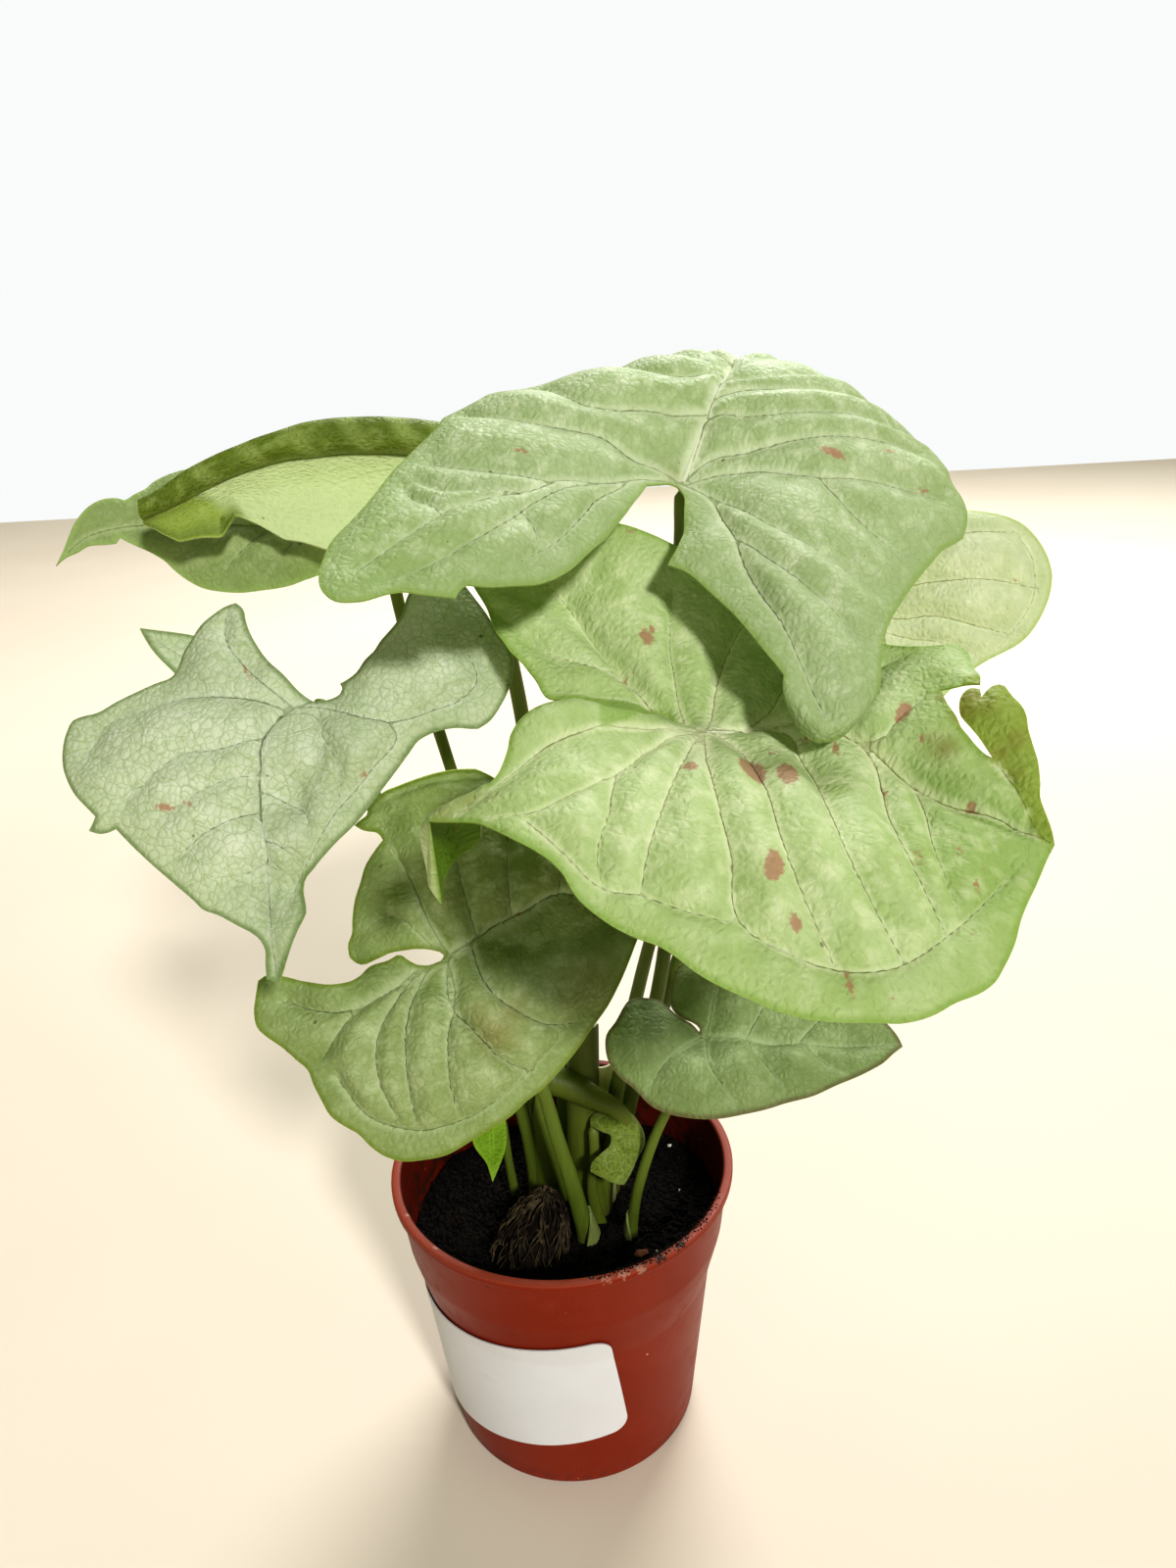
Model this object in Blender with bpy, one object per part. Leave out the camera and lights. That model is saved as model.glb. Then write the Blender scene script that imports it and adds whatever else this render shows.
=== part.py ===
"""Arrowhead plant standing in a round plastic nursery pot.

Sizes are in millimetres and MM turns them into metres. The origin is the middle of the pot's base, on the
surface that the pot stands on. +Z is up, the front faces -Y and the pot's right side faces +X.
"""

import math
from collections import namedtuple

import bmesh
import bpy
from mathutils import Euler, Vector

MM = 0.001
GAP = 0.3

# Pot
RIM_RADIUS = 35.0
POT_HEIGHT = 61.2
BASE_RADIUS = 26.1
LIP_WIDTH = 2.0
LIP_HEIGHT = 2.0
WALL = 0.9
COLLAR_BOTTOM_Z = 48.0
COLLAR_BOTTOM_RADIUS = 32.7
SHOULDER_BOTTOM_Z = 37.5
SHOULDER_BOTTOM_RADIUS = 30.1
POT_SIDES = 48
DRAIN_HOLES = 6
DRAIN_RADIUS = 3.0
DRAIN_RING = 18.0

# Label stuck on the front left of the pot
LABEL_WIDTH = 57.0
LABEL_HEIGHT = 28.5
LABEL_CORNER = 3.5
LABEL_THICKNESS = 0.3
LABEL_TILT = math.radians(8.7)
LABEL_ARC = -20.0
LABEL_Z = 25.7

# Soil and the old root clump
SOIL_EDGE_Z = 48.0
SOIL_MIDDLE_Z = 50.0
SOIL_BOTTOM_Z = 2.4
HOLE_DEPTH = 6.0
CLUMP_RADII = (7.0, 5.5, 11.0)
CLUMP_CENTRE = (-8.0, -14.0, 49.0)
CLUMP_LEAN = (4.0, 5.0)

# Blades and stems
BLADE_THICKNESS = 0.7
BLADE_ROWS = 5
SPAN_STEP = 7.0
ROLL_RADIUS = 1.6
STEM_SIDES = 8
STEM_STEPS = 2

Point = namedtuple("Point", "name forward left rise arch corner flap curl")
Blade = namedtuple("Blade", "name joint heading pitch roll outline")
Stem = namedtuple("Stem", "name base_radius top_radius route")


def point(name, forward, left, rise, arch, corner=False, flap=0.0, curl=0.0):
    """One outline point in the blade's own frame: forward is towards the tip, rise is above the joint.

    arch lifts the blade half way to the point. flap is what folds over past the point, by curl degrees.
    """
    return Point(name, forward, left, rise, arch, corner, flap, math.radians(curl))


TOP = Blade("blade_top", (25.0, -16.5, 197.5), 73, 1, 12, [
    point("right sinus", -10, -2, -5.5, 1),
    point("right point", -17.5, -3, -8, 1, corner=True),
    point("right inner", -26.5, -15.5, -13, 1),
    point("right lobe", -36.5, -29.5, -20, 4, corner=True),
    point("right low", -27, -34, -14.5, 4),
    point("right side", -10.5, -36.5, -9.5, 5),
    point("right out", 9.5, -43, -0.5, 5, corner=True),
    point("right high", 25.5, -39, 6.5, 8),
    point("right upper", 43, -27, 8.5, 12),
    point("right far", 59, -12.5, 4, 16),
    point("tip", 81.5, -0.5, -1, 18, corner=True),
    point("left far", 52.5, 10.5, 3, 16),
    point("left upper", 26.5, 27.5, 3.5, 11),
    point("left high", 5.5, 38, 3.5, 7),
    point("left out", -7.5, 39.5, 0, 5, corner=True),
    point("left side", -26, 40, -8, 4),
    point("left lobe", -43, 38, -14, 4, corner=True),
    point("left low", -40.5, 27, -13.5, 3),
    point("left inner", -31, 13.5, -11.5, 2),
    point("left sinus", -18.5, 6, -7.5, 1),
])

RIGHT = Blade("blade_right", (23.0, -48.0, 168.5), -31, -11, 22, [
    point("right sinus", -9.5, -4, 4.5, 0),
    point("right notch", -14, -6.5, 5.5, 1),
    point("right top", -17, -13, 9, 1),
    point("right up", -16, -24.5, 7.5, 2),
    point("right lobe", -20.5, -35, 5, 5, corner=True, flap=10, curl=-100),
    point("right low", -10.5, -32.5, 9, 3),
    point("right side", 3.5, -36.5, 6, 5),
    point("right mid", 15, -37.5, 3, 6),
    point("right front", 25.5, -35.5, 0.5, 7),
    point("right fore", 36.5, -32, -1.5, 7),
    point("right end", 44, -23, -2.5, 6),
    point("right tip", 46, -12, -1.5, 3),
    point("tip", 46.5, 0, 0, 0, corner=True),
    point("left tip", 42, 8, 3, -2, flap=5, curl=150),
    point("left flap", 36.5, 18.5, 6.5, -2, corner=True, flap=6, curl=150),
    point("left tear", 32, 16, 5.5, -2, corner=True),
    point("left horn", 29, 25.5, 3.5, -2, corner=True),
    point("left side", 15, 31.5, 0.5, -2),
    point("left back", -2, 34, 4, -3),
    point("left top", -25.5, 27.5, 9.5, -3),
    point("left lobe", -41.5, 19, 6.5, -2, corner=True),
    point("left low", -41.5, 10, 4, -1),
    point("left inner", -31.5, 1.5, 2, 0),
    point("left sinus", -22.5, -3.5, 0, 0),
])

UPPER_LEFT = Blade("blade_upper_left", (-24.0, 9.0, 193.5), -166, -6, -48, [
    point("right sinus", -2, -2.5, 0, 0),
    point("right lobe", -4.5, -7, -1, 1, corner=True),
    point("right up", 6.5, -14.5, -3.5, 3),
    point("right high", 19.5, -18, -4.5, 4),
    point("right side", 27.5, -17, -3.5, 3),
    point("right low", 35, -14.5, -2, 2),
    point("right notch", 38, -11, 0.5, 1),
    point("right near", 42.5, -10.5, 1.5, 1),
    point("right tip", 46, -9, 2.5, 1),
    point("right end", 49.5, -5.5, 1.5, 0),
    point("tip", 53, -0.5, 0, 0, corner=True),
    point("left end", 47.5, -2.5, 1, 0),
    point("left near", 43, -3, 0, 1, corner=True),
    point("left low", 37, 0.5, -2, 3),
    point("left side", 32.5, 7, -3, 4),
    point("left front", 25.5, 10, -2, 5),
    point("left out", 17.5, 10.5, -1.5, 4),
    point("left lobe", 9, 8.5, -1, 3, corner=True),
    point("left inner", 3.5, 4.5, -0.5, 1),
    point("left sinus", 0.5, 2, 0, 0),
])

LEFT = Blade("blade_left", (-33.0, -23.5, 169.5), -105, -54, -10, [
    point("right sinus", -0.5, -2.5, -1, 0),
    point("right inner", -7.5, -11, -2, 1),
    point("right lobe", -16.5, -16.5, -4.5, 2, corner=True),
    point("right up", -10, -21, -3, 3),
    point("right notch", -1.5, -24, -2, 3),
    point("right corner", 4.5, -34.5, -1, 3),
    point("right side", 12.5, -37, 0, 4),
    point("right out", 24, -29.5, 2.5, 4, corner=True),
    point("right in", 23, -25.5, 2.5, 4),
    point("right low", 31.5, -14.5, 2, 4),
    point("right near", 37, -2, 2.5, 2),
    point("tip", 43, 0, -0.5, 0, corner=True),
    point("left near", 34, 3, 2, 2),
    point("left low", 26, 4, 1.5, 3),
    point("left side", 16, 11.5, 1, 4),
    point("left front", 5, 17, 0.5, 4),
    point("left out", 0.5, 27, -1, 3),
    point("left lobe", -9, 29.5, -1, 3),
    point("left top", -18, 23.5, -1.5, 3),
    point("left high", -18.5, 12.5, -2, 2),
    point("left inner", -8.5, 8, -1, 1),
    point("left tooth", -3.5, 3.5, -1.5, 0, corner=True),
    point("left sinus", -0.5, 2, -1, 0),
])

LOW = Blade("blade_low", (-16.5, -30.0, 127.0), 8, -3, 53, [
    point("right sinus", -6.5, -0.5, -1.5, 0),
    point("right inner", -14.5, -2.5, -3.5, 1),
    point("right up", -23, -1.5, -5, 2),
    point("right lobe", -30, 0, -7, 2, corner=True),
    point("right out", -30.5, -6.5, -6.5, 3),
    point("right side", -23, -15, -4.5, 5),
    point("right low", -21, -21.5, -3.5, 5),
    point("right bottom", -11.5, -30.5, -3, 6),
    point("right front", 0.5, -29.5, 0.5, 6),
    point("right fore", 12.5, -22.5, 2.5, 6),
    point("right end", 21, -14, 2.5, 4),
    point("right near", 27.5, -6.5, 2, 2),
    point("tip", 31.5, 0, 0, 0, corner=True),
    point("left near", 26.5, 11.5, 1.5, 2),
    point("left side", 16.5, 23.5, 0.5, 4),
    point("left top", 3, 29.5, -0.5, 5),
    point("left high", -6, 27.5, -1.5, 5),
    point("left point", -13, 23.5, -2, 4, corner=True),
    point("left back", -11.5, 17, -3.5, 3),
    point("left out", -14.5, 8.5, -5.5, 3),
    point("left lobe", -14.5, 1, -7, 2),
    point("left inner", -8.5, 0, -3.5, 1),
    point("left sinus", -4, 1.5, -1, 0),
])

LOW_RIGHT = Blade("blade_low_right", (26.0, -25.0, 104.0), -12, 0, 26, [
    point("right sinus", -2.5, 2, 1, 0),
    point("right inner", -7.5, 4.5, 3, 1),
    point("right top", -14, 4, 5, 1),
    point("right lobe", -16.5, -2.5, 4, 2),
    point("right out", -14, -8.5, 2, 3),
    point("right low", -6.5, -14, -0.5, 4),
    point("right front", 2, -14.5, 0, 4),
    point("right mid", 12, -12.5, 0, 4),
    point("right end", 22.5, -7.5, 1, 3),
    point("right near", 29, -3.5, 0.5, 1),
    point("tip", 34, 0.5, 0, 0, corner=True),
    point("left near", 31, 4.5, 0.5, 0),
    point("left side", 22.5, 12, 2, 2),
    point("left back", 8.5, 18, 4, 3),
    point("left top", -2, 17, 3.5, 3),
    point("left lobe", -6, 12.5, 2, 2),
    point("left inner", -6.5, 7.5, 0, 1),
    point("left sinus", -2.5, 3.5, 0, 0),
])

BACK_RIGHT = Blade("blade_back_right", (64.0, 18.0, 182.5), -79, -59, 14, [
    point("right sinus", -3.5, -1.5, -0.5, 0),
    point("right lobe", -9.5, -7, -1.5, 2, corner=True),
    point("right side", 7.5, -16.5, 0, 3),
    point("right low", 25.5, -11.5, 0.5, 3),
    point("tip", 38, 0, 0, 0, corner=True),
    point("left low", 28.5, 14, -0.5, 3),
    point("left near", 24, 25, -1, 4),
    point("left side", 12.5, 31.5, -0.5, 4),
    point("left high", 4, 28.5, 0, 3),
    point("left lobe", -1, 18.5, 0, 3),
    point("left up", -3, 9, -0.5, 1),
    point("left sinus", -2, 2.5, -1, 0),
])

LEFT_SMALL = Blade("blade_left_small", (-50.5, -10.0, 168.5), 174, 41, -39, [
    point("right sinus", 0.5, -1, 1, 0),
    point("right lobe", 3, -5.5, 2, 1, corner=True),
    point("right side", 9, -4, 0.5, 1),
    point("tip", 15.5, 0, 0, 0, corner=True),
    point("left side", 10.5, 2.5, 1, 1),
    point("left low", 4, 4, 1.5, 1),
    point("left lobe", -4.5, 4.5, 1, 1, corner=True),
    point("left sinus", -1.5, 1, 1, 0),
])

NEW = Blade("blade_new", (6.5, -7.5, 75.0), -59, -49, 17, [
    point("right sinus", 1, -1, -0.5, 0),
    point("right side", 3, 0, 1.5, 1),
    point("right lobe", 7, -3.5, -0.5, 2, corner=True),
    point("right low", 10.5, -1.5, 0.5, 2),
    point("tip", 13, 0, 0, 1, corner=True),
    point("left low", 10.5, 4.5, 1, 2),
    point("left side", 7.5, 8, 1.5, 3),
    point("left lobe", 2.5, 8, -0.5, 3),
    point("left sinus", 0, 4.5, -1, 1),
])

BUD = Blade("blade_bud", (-13.0, -10.5, 84.0), -111, -82, -35, [
    point("right base", 1, -2, 0, 0),
    point("right side", 8, -3.5, 0, 1),
    point("right low", 13, -1, 0, 1),
    point("tip", 17, 0, 0.5, 0, corner=True),
    point("left low", 14, 1.5, 0, 1),
    point("left side", 8, 3, 0, 1),
    point("left base", 1.5, 1.5, 0, 0),
])

BLADES = [TOP, RIGHT, UPPER_LEFT, LEFT, LOW, LOW_RIGHT, BACK_RIGHT, LEFT_SMALL, NEW, BUD]

# The rolled blade: each station has its place on the roll's top line, the roll's radius, how far the blade
# hangs below the roll, and how far its hem swings to the front.
ROLLED_STATIONS = [
    ((-7.0, 4.0, 206.0), 2.3, 15, 3),
    ((-16.0, 2.5, 207.5), 2.6, 17, 4),
    ((-25.5, 0.5, 208.5), 2.6, 18, 6),
    ((-35.0, -1.5, 208.0), 2.4, 16, 6),
    ((-44.0, -3.0, 205.5), 2.1, 13, 4),
    ((-51.0, -4.5, 202.5), 1.8, 8, 2),
    ((-55.5, -6.0, 200.0), 1.6, 5, 1),
    ((-59.0, -7.5, 198.5), 1.4, 2, 0),
]
ROLL_START = math.radians(-140)
ROLL_END = math.radians(171)
ROLL_STEPS = 10
ROLLED_SPAN_STEPS = 2

STEMS = [
    Stem("stem_top", 1.9, 1.1, [
        (9, 3, 46), (14, -1, 73), (20.5, -3.5, 101.5), (24, -8, 140), (24.5, -11, 175), (25, -16.3, 196.7)]),
    Stem("stem_right", 1.8, 1.1, [
        (7, -4, 46), (11.5, -3.5, 78), (16.5, -12, 109.5), (20.5, -21, 133), (23, -35, 154.5),
        (23, -47.4, 167.5)]),
    Stem("stem_upper_left", 2.3, 1.1, [
        (-1, 2, 46), (-6, 1, 90), (-12, 4, 128), (-17, 4.5, 153), (-21.5, 5.5, 173),
        (-24.1, 9.8, 192.2)]),
    Stem("stem_rolled", 2.0, 1.4, [
        (1, 7, 46), (1.5, 6.5, 80.5), (-0.5, 9.5, 120), (-2, 10, 153), (-4, 8, 171), (-5.5, 4, 204)]),
    Stem("stem_left", 1.6, 1.0, [
        (-5.5, 3.5, 46), (-7.5, -2.5, 76), (-17.5, -8, 114.5), (-27.5, -9.5, 147), (-31, -15, 159),
        (-32.8, -22.8, 168.5)]),
    Stem("stem_low", 1.9, 1.1, [
        (4, -11, 46), (2, -13, 63), (-0.5, -12.5, 75), (-3, -13.5, 88.5), (-11, -22, 110.5),
        (-16.6, -29.2, 126.4)]),
    Stem("stem_low_right", 1.2, 0.9, [
        (13, -10, 46), (14.5, -14.5, 64.5), (18, -14.5, 76), (21.5, -17, 86.5), (26.1, -24.7, 103.3)]),
    Stem("stem_back_right", 1.7, 1.0, [
        (5, 11, 46), (19, 9, 77.5), (28.5, 13.5, 104.5), (43.5, 18.5, 138), (57.5, 20.5, 166.5),
        (63.9, 19, 181.5)]),
    Stem("stem_left_small", 1.2, 0.8, [
        (-5, 9, 46), (-8.5, 6.5, 76.5), (-21.5, 1.5, 119), (-30, -4.5, 144), (-40, -9, 159),
        (-50.6, -9.3, 167.6)]),
    Stem("stem_new", 1.6, 1.0, [(8.5, -8, 46), (7, -10, 61), (7.5, -9.5, 68), (6.4, -6.4, 73.5)]),
    Stem("stem_bud", 1.1, 0.7, [
        (-10, 4, 46), (-11, 1, 60), (-11.5, -2, 74), (-12.5, -6.5, 81), (-13, -9.7, 83.8)]),
]


def clear_scene():
    for thing in list(bpy.data.objects):
        bpy.data.objects.remove(thing, do_unlink=True)


def principled(name, color, roughness, subsurface=0.0):
    material = bpy.data.materials.new(name)
    material.use_nodes = True
    shader = material.node_tree.nodes["Principled BSDF"]
    shader.inputs["Base Color"].default_value = (*color, 1.0)
    shader.inputs["Roughness"].default_value = roughness
    shader.inputs["Subsurface Weight"].default_value = subsurface
    return material


def add_object(name, mesh_faces, material, smooth=True):
    """An object from a bmesh in millimetres."""
    mesh = bpy.data.meshes.new(name)
    bmesh.ops.scale(mesh_faces, vec=(MM, MM, MM), verts=mesh_faces.verts)
    bmesh.ops.recalc_face_normals(mesh_faces, faces=mesh_faces.faces)
    mesh_faces.to_mesh(mesh)
    mesh_faces.free()
    if smooth:
        mesh.shade_smooth()
        mesh.set_sharp_from_angle(angle=math.radians(40))
    thing = bpy.data.objects.new(name, mesh)
    thing.data.materials.append(material)
    bpy.context.collection.objects.link(thing)
    return thing


def turned(profile, sides):
    """A solid of revolution from (radius, z) points that start and end on the axis."""
    shape = bmesh.new()
    rings = []
    for radius, z in profile:
        if radius == 0:
            rings.append([shape.verts.new((0, 0, z))])
            continue
        turns = [2 * math.pi * i / sides for i in range(sides)]
        rings.append([shape.verts.new((radius * math.cos(a), radius * math.sin(a), z)) for a in turns])
    for low, high in zip(rings, rings[1:]):
        for i in range(sides):
            j = (i + 1) % sides
            corners = [low[i % len(low)], low[j % len(low)], high[j % len(high)], high[i % len(high)]]
            shape.faces.new(list(dict.fromkeys(corners)))
    return shape


def cut(thing, cutter):
    """Subtracts the cutter, which stays in the scene as a hidden guide."""
    cutter.hide_render = True
    cutter.display_type = "WIRE"
    modifier = thing.modifiers.new("cut " + cutter.name, "BOOLEAN")
    modifier.object = cutter
    modifier.solver = "EXACT"
    modifier.use_self = True


def outer_radius(z):
    """Outer radius of the pot's body or of the shoulder above it, at a height."""
    if z < SHOULDER_BOTTOM_Z:
        return BASE_RADIUS + (SHOULDER_BOTTOM_RADIUS - BASE_RADIUS) * z / SHOULDER_BOTTOM_Z
    share = (z - SHOULDER_BOTTOM_Z) / (COLLAR_BOTTOM_Z - SHOULDER_BOTTOM_Z)
    return SHOULDER_BOTTOM_RADIUS + (COLLAR_BOTTOM_RADIUS - SHOULDER_BOTTOM_RADIUS) * share


def make_pot(material):
    lip_inner = RIM_RADIUS - LIP_WIDTH
    collar_top = POT_HEIGHT - LIP_HEIGHT
    floor = SOIL_BOTTOM_Z - GAP
    outside = [
        (0, 0), (BASE_RADIUS - 0.8, 0), (BASE_RADIUS, 0.8),
        (SHOULDER_BOTTOM_RADIUS, SHOULDER_BOTTOM_Z),
        (COLLAR_BOTTOM_RADIUS, COLLAR_BOTTOM_Z),
        (lip_inner + WALL, collar_top),
        (RIM_RADIUS, collar_top + 0.2), (RIM_RADIUS, POT_HEIGHT - 0.4), (RIM_RADIUS - 0.4, POT_HEIGHT),
    ]
    inside = [
        (lip_inner, POT_HEIGHT),
        (COLLAR_BOTTOM_RADIUS - WALL, COLLAR_BOTTOM_Z),
        (SHOULDER_BOTTOM_RADIUS - WALL, SHOULDER_BOTTOM_Z),
        (outer_radius(floor) - WALL, floor), (0, floor),
    ]
    pot = add_object("pot", turned(outside + inside, POT_SIDES), material)
    holes = bmesh.new()
    for i in range(DRAIN_HOLES):
        turn = 2 * math.pi * i / DRAIN_HOLES
        hole = bmesh.ops.create_cone(
            holes, cap_ends=True, segments=12, radius1=DRAIN_RADIUS, radius2=DRAIN_RADIUS, depth=8)
        place = (DRAIN_RING * math.cos(turn), DRAIN_RING * math.sin(turn), 0)
        bmesh.ops.translate(holes, verts=hole["verts"], vec=place)
    cut(pot, add_object("guide_drain_holes", holes, material))


def make_label(material):
    """A thin rounded rectangle, wrapped round the body."""
    half_width = LABEL_WIDTH / 2
    half_height = LABEL_HEIGHT / 2
    columns = 24
    rows = 6
    shape = bmesh.new()
    layers = []
    for lift in (GAP, GAP + LABEL_THICKNESS):
        grid = []
        for i in range(columns + 1):
            across = half_width * (2 * i / columns - 1)
            inset = max(0.0, abs(across) - (half_width - LABEL_CORNER))
            top = half_height - LABEL_CORNER + math.sqrt(LABEL_CORNER ** 2 - min(inset, LABEL_CORNER) ** 2)
            line = []
            for j in range(rows + 1):
                up = top * (2 * j / rows - 1)
                arc = LABEL_ARC + across * math.cos(LABEL_TILT) - up * math.sin(LABEL_TILT)
                z = LABEL_Z + across * math.sin(LABEL_TILT) + up * math.cos(LABEL_TILT)
                radius = outer_radius(z) + lift
                turn = arc / outer_radius(LABEL_Z)
                line.append(shape.verts.new((radius * math.sin(turn), -radius * math.cos(turn), z)))
            grid.append(line)
        layers.append(grid)
    join_layers(shape, layers[0], layers[1])
    add_object("label", shape, material)


def join_layers(shape, under, over):
    """Faces of a sheet from two equal grids of vertices, split into triangles alike on both."""
    for a, b in zip(range(len(under)), range(1, len(under))):
        for j in range(len(under[0]) - 1):
            shape.faces.new((over[a][j], over[b][j], over[b][j + 1]))
            shape.faces.new((over[a][j], over[b][j + 1], over[a][j + 1]))
            shape.faces.new((under[a][j], under[b][j + 1], under[b][j]))
            shape.faces.new((under[a][j], under[a][j + 1], under[b][j + 1]))
    rim_under = [line[0] for line in under] + under[-1][1:] + [line[-1] for line in under[-2::-1]]
    rim_over = [line[0] for line in over] + over[-1][1:] + [line[-1] for line in over[-2::-1]]
    rim_under += under[0][-2:0:-1]
    rim_over += over[0][-2:0:-1]
    for i in range(len(rim_under)):
        j = (i + 1) % len(rim_under)
        shape.faces.new((rim_under[i], rim_under[j], rim_over[j], rim_over[i]))


def curve_through(points, corners, steps):
    """Places along a smooth curve through the points, with a bend at each corner."""
    tangents = []
    last = len(points) - 1
    for i, here in enumerate(points):
        if i in (0, last) or corners[i]:
            tangents.append(None)
            continue
        back = (here - points[i - 1]).length
        ahead = (points[i + 1] - here).length
        slope = (here - points[i - 1]) / back * ahead + (points[i + 1] - here) / ahead * back
        tangents.append(slope / (back + ahead))
    places = []
    for i in range(last):
        start, end = points[i], points[i + 1]
        reach = (end - start).length
        chord = (end - start) / reach
        leave, arrive = tangents[i], tangents[i + 1]
        if leave is None and arrive is None:
            leave = arrive = chord
        elif leave is None:
            leave = 1.5 * chord - 0.5 * arrive
        elif arrive is None:
            arrive = 1.5 * chord - 0.5 * leave
        for k in range(steps[i]):
            t = k / steps[i]
            places.append((2 * t ** 3 - 3 * t ** 2 + 1) * start + (t ** 3 - 2 * t ** 2 + t) * reach * leave
                          + (3 * t ** 2 - 2 * t ** 3) * end + (t ** 3 - t ** 2) * reach * arrive)
    return places + [points[last]]


def spread(values, steps):
    """Numbers blended in straight lines between the outline's points."""
    blended = []
    for i, count in enumerate(steps):
        blended += [values[i] + (values[i + 1] - values[i]) * k / count for k in range(count)]
    return blended + [values[-1]]


def spoke(middle, edge, flap, curl, rows):
    """Places from the blade's joint, through the middle, to the edge and over the flap."""
    fine = 12
    run = [(4 * t * (1 - t)) * middle + (t * (2 * t - 1)) * edge for t in [k / fine for k in range(fine + 1)]]
    lengths = [0.0]
    for a, b in zip(run, run[1:]):
        lengths.append(lengths[-1] + (b - a).length)
    ahead = (3 * edge - 4 * middle).normalized()
    up = Vector((0, 0, 1))
    up = (up - up.dot(ahead) * ahead).normalized() * math.copysign(1, curl)
    places = []
    for row in range(1, rows + 1):
        along = (lengths[-1] + flap) * row / rows
        if along <= lengths[-1]:
            k = next(i for i in range(fine) if along <= lengths[i + 1] + 1e-6)
            share = (along - lengths[k]) / (lengths[k + 1] - lengths[k])
            places.append(run[k].lerp(run[k + 1], share))
            continue
        past = along - lengths[-1]
        turn = min(past / ROLL_RADIUS, abs(curl))
        straight = past - turn * ROLL_RADIUS
        places.append(edge + ROLL_RADIUS * (math.sin(turn) * ahead + (1 - math.cos(turn)) * up)
                      + straight * (math.cos(turn) * ahead + math.sin(turn) * up))
    return places


def blade_grid(blade):
    """Columns of places from the joint outwards, one column for each step along the outline."""
    edges = [Vector((p.forward, p.left, p.rise)) for p in blade.outline]
    middles = [edge / 2 + Vector((0, 0, p.arch)) for edge, p in zip(edges, blade.outline)]
    steps = [max(1, round((b - a).length / SPAN_STEP)) for a, b in zip(edges, edges[1:])]
    corners = [p.corner for p in blade.outline]
    edge_line = curve_through(edges, corners, steps)
    middle_line = curve_through(middles, [False] * len(middles), steps)
    flaps = spread([p.flap for p in blade.outline], steps)
    curls = spread([p.curl for p in blade.outline], steps)
    return [spoke(*column, BLADE_ROWS) for column in zip(middle_line, edge_line, flaps, curls)]


def grid_normals(grid, pole):
    """A unit normal at each place of a grid of columns, and at the pole where the columns meet."""
    facing = {}
    triangles = []
    for i in range(len(grid) - 1):
        if pole is not None:
            triangles.append(((-1, -1), (i, 0), (i + 1, 0)))
        for j in range(len(grid[0]) - 1):
            triangles.append(((i, j), (i, j + 1), (i + 1, j + 1)))
            triangles.append(((i, j), (i + 1, j + 1), (i + 1, j)))
    for triangle in triangles:
        a, b, c = [pole if key == (-1, -1) else grid[key[0]][key[1]] for key in triangle]
        normal = (b - a).cross(c - a)
        for key in triangle:
            facing[key] = facing.get(key, Vector()) + normal
    return {key: normal.normalized() for key, normal in facing.items()}


def thick_sheet(grid, pole):
    """A closed sheet round a grid of places, with both faces split into triangles alike."""
    normals = grid_normals(grid, pole)
    shape = bmesh.new()
    layers = []
    poles = []
    for side in (-0.5, 0.5):
        lift = side * BLADE_THICKNESS
        layers.append([[shape.verts.new(place + lift * normals[(i, j)]) for j, place in enumerate(column)]
                       for i, column in enumerate(grid)])
        if pole is not None:
            poles.append(shape.verts.new(pole + lift * normals[(-1, -1)]))
    under, over = layers
    last = len(grid) - 1
    for i in range(last):
        for j in range(len(grid[0]) - 1):
            shape.faces.new((over[i][j], over[i][j + 1], over[i + 1][j + 1]))
            shape.faces.new((over[i][j], over[i + 1][j + 1], over[i + 1][j]))
            shape.faces.new((under[i][j], under[i + 1][j + 1], under[i][j + 1]))
            shape.faces.new((under[i][j], under[i + 1][j], under[i + 1][j + 1]))
        if pole is not None:
            shape.faces.new((poles[1], over[i][0], over[i + 1][0]))
            shape.faces.new((poles[0], under[i + 1][0], under[i][0]))
    start = [(under[0][j], over[0][j]) for j in range(len(grid[0]))]
    margin = [(under[i][-1], over[i][-1]) for i in range(1, last + 1)]
    end = [(under[last][j], over[last][j]) for j in range(len(grid[0]) - 2, -1, -1)]
    if pole is None:
        close = [(under[i][0], over[i][0]) for i in range(last - 1, 0, -1)]
    else:
        close = [(poles[0], poles[1])]
    rim = start + margin + end + close
    for here, there in zip(rim, rim[1:] + rim[:1]):
        shape.faces.new((here[0], there[0], there[1]))
        shape.faces.new((here[0], there[1], here[1]))
    return shape


def make_blade(blade, material):
    thing = add_object(blade.name, thick_sheet(blade_grid(blade), Vector()), material)
    thing.location = Vector(blade.joint) * MM
    turn = [math.radians(angle) for angle in (blade.roll, -blade.pitch, blade.heading)]
    thing.rotation_euler = Euler(turn)


def rolled_section(top, radius, hang, swing):
    """One slice across the rolled blade, from the roll's hidden edge, over its top and down to the hem."""
    slice_places = []
    for k in range(ROLL_STEPS + 1):
        turn = ROLL_START + (ROLL_END - ROLL_START) * k / ROLL_STEPS
        slice_places.append(Vector((0, -radius * math.sin(turn), -radius + radius * math.cos(turn))))
    foot = slice_places[-1]
    slice_places.append(foot + Vector((0, 0.3 * radius, -0.25 * hang)))
    slice_places.append(foot + Vector((0, -0.3 * swing, -0.6 * hang)))
    slice_places.append(foot + Vector((0, -swing, -hang)))
    return [Vector(top) + place for place in slice_places]


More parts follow.
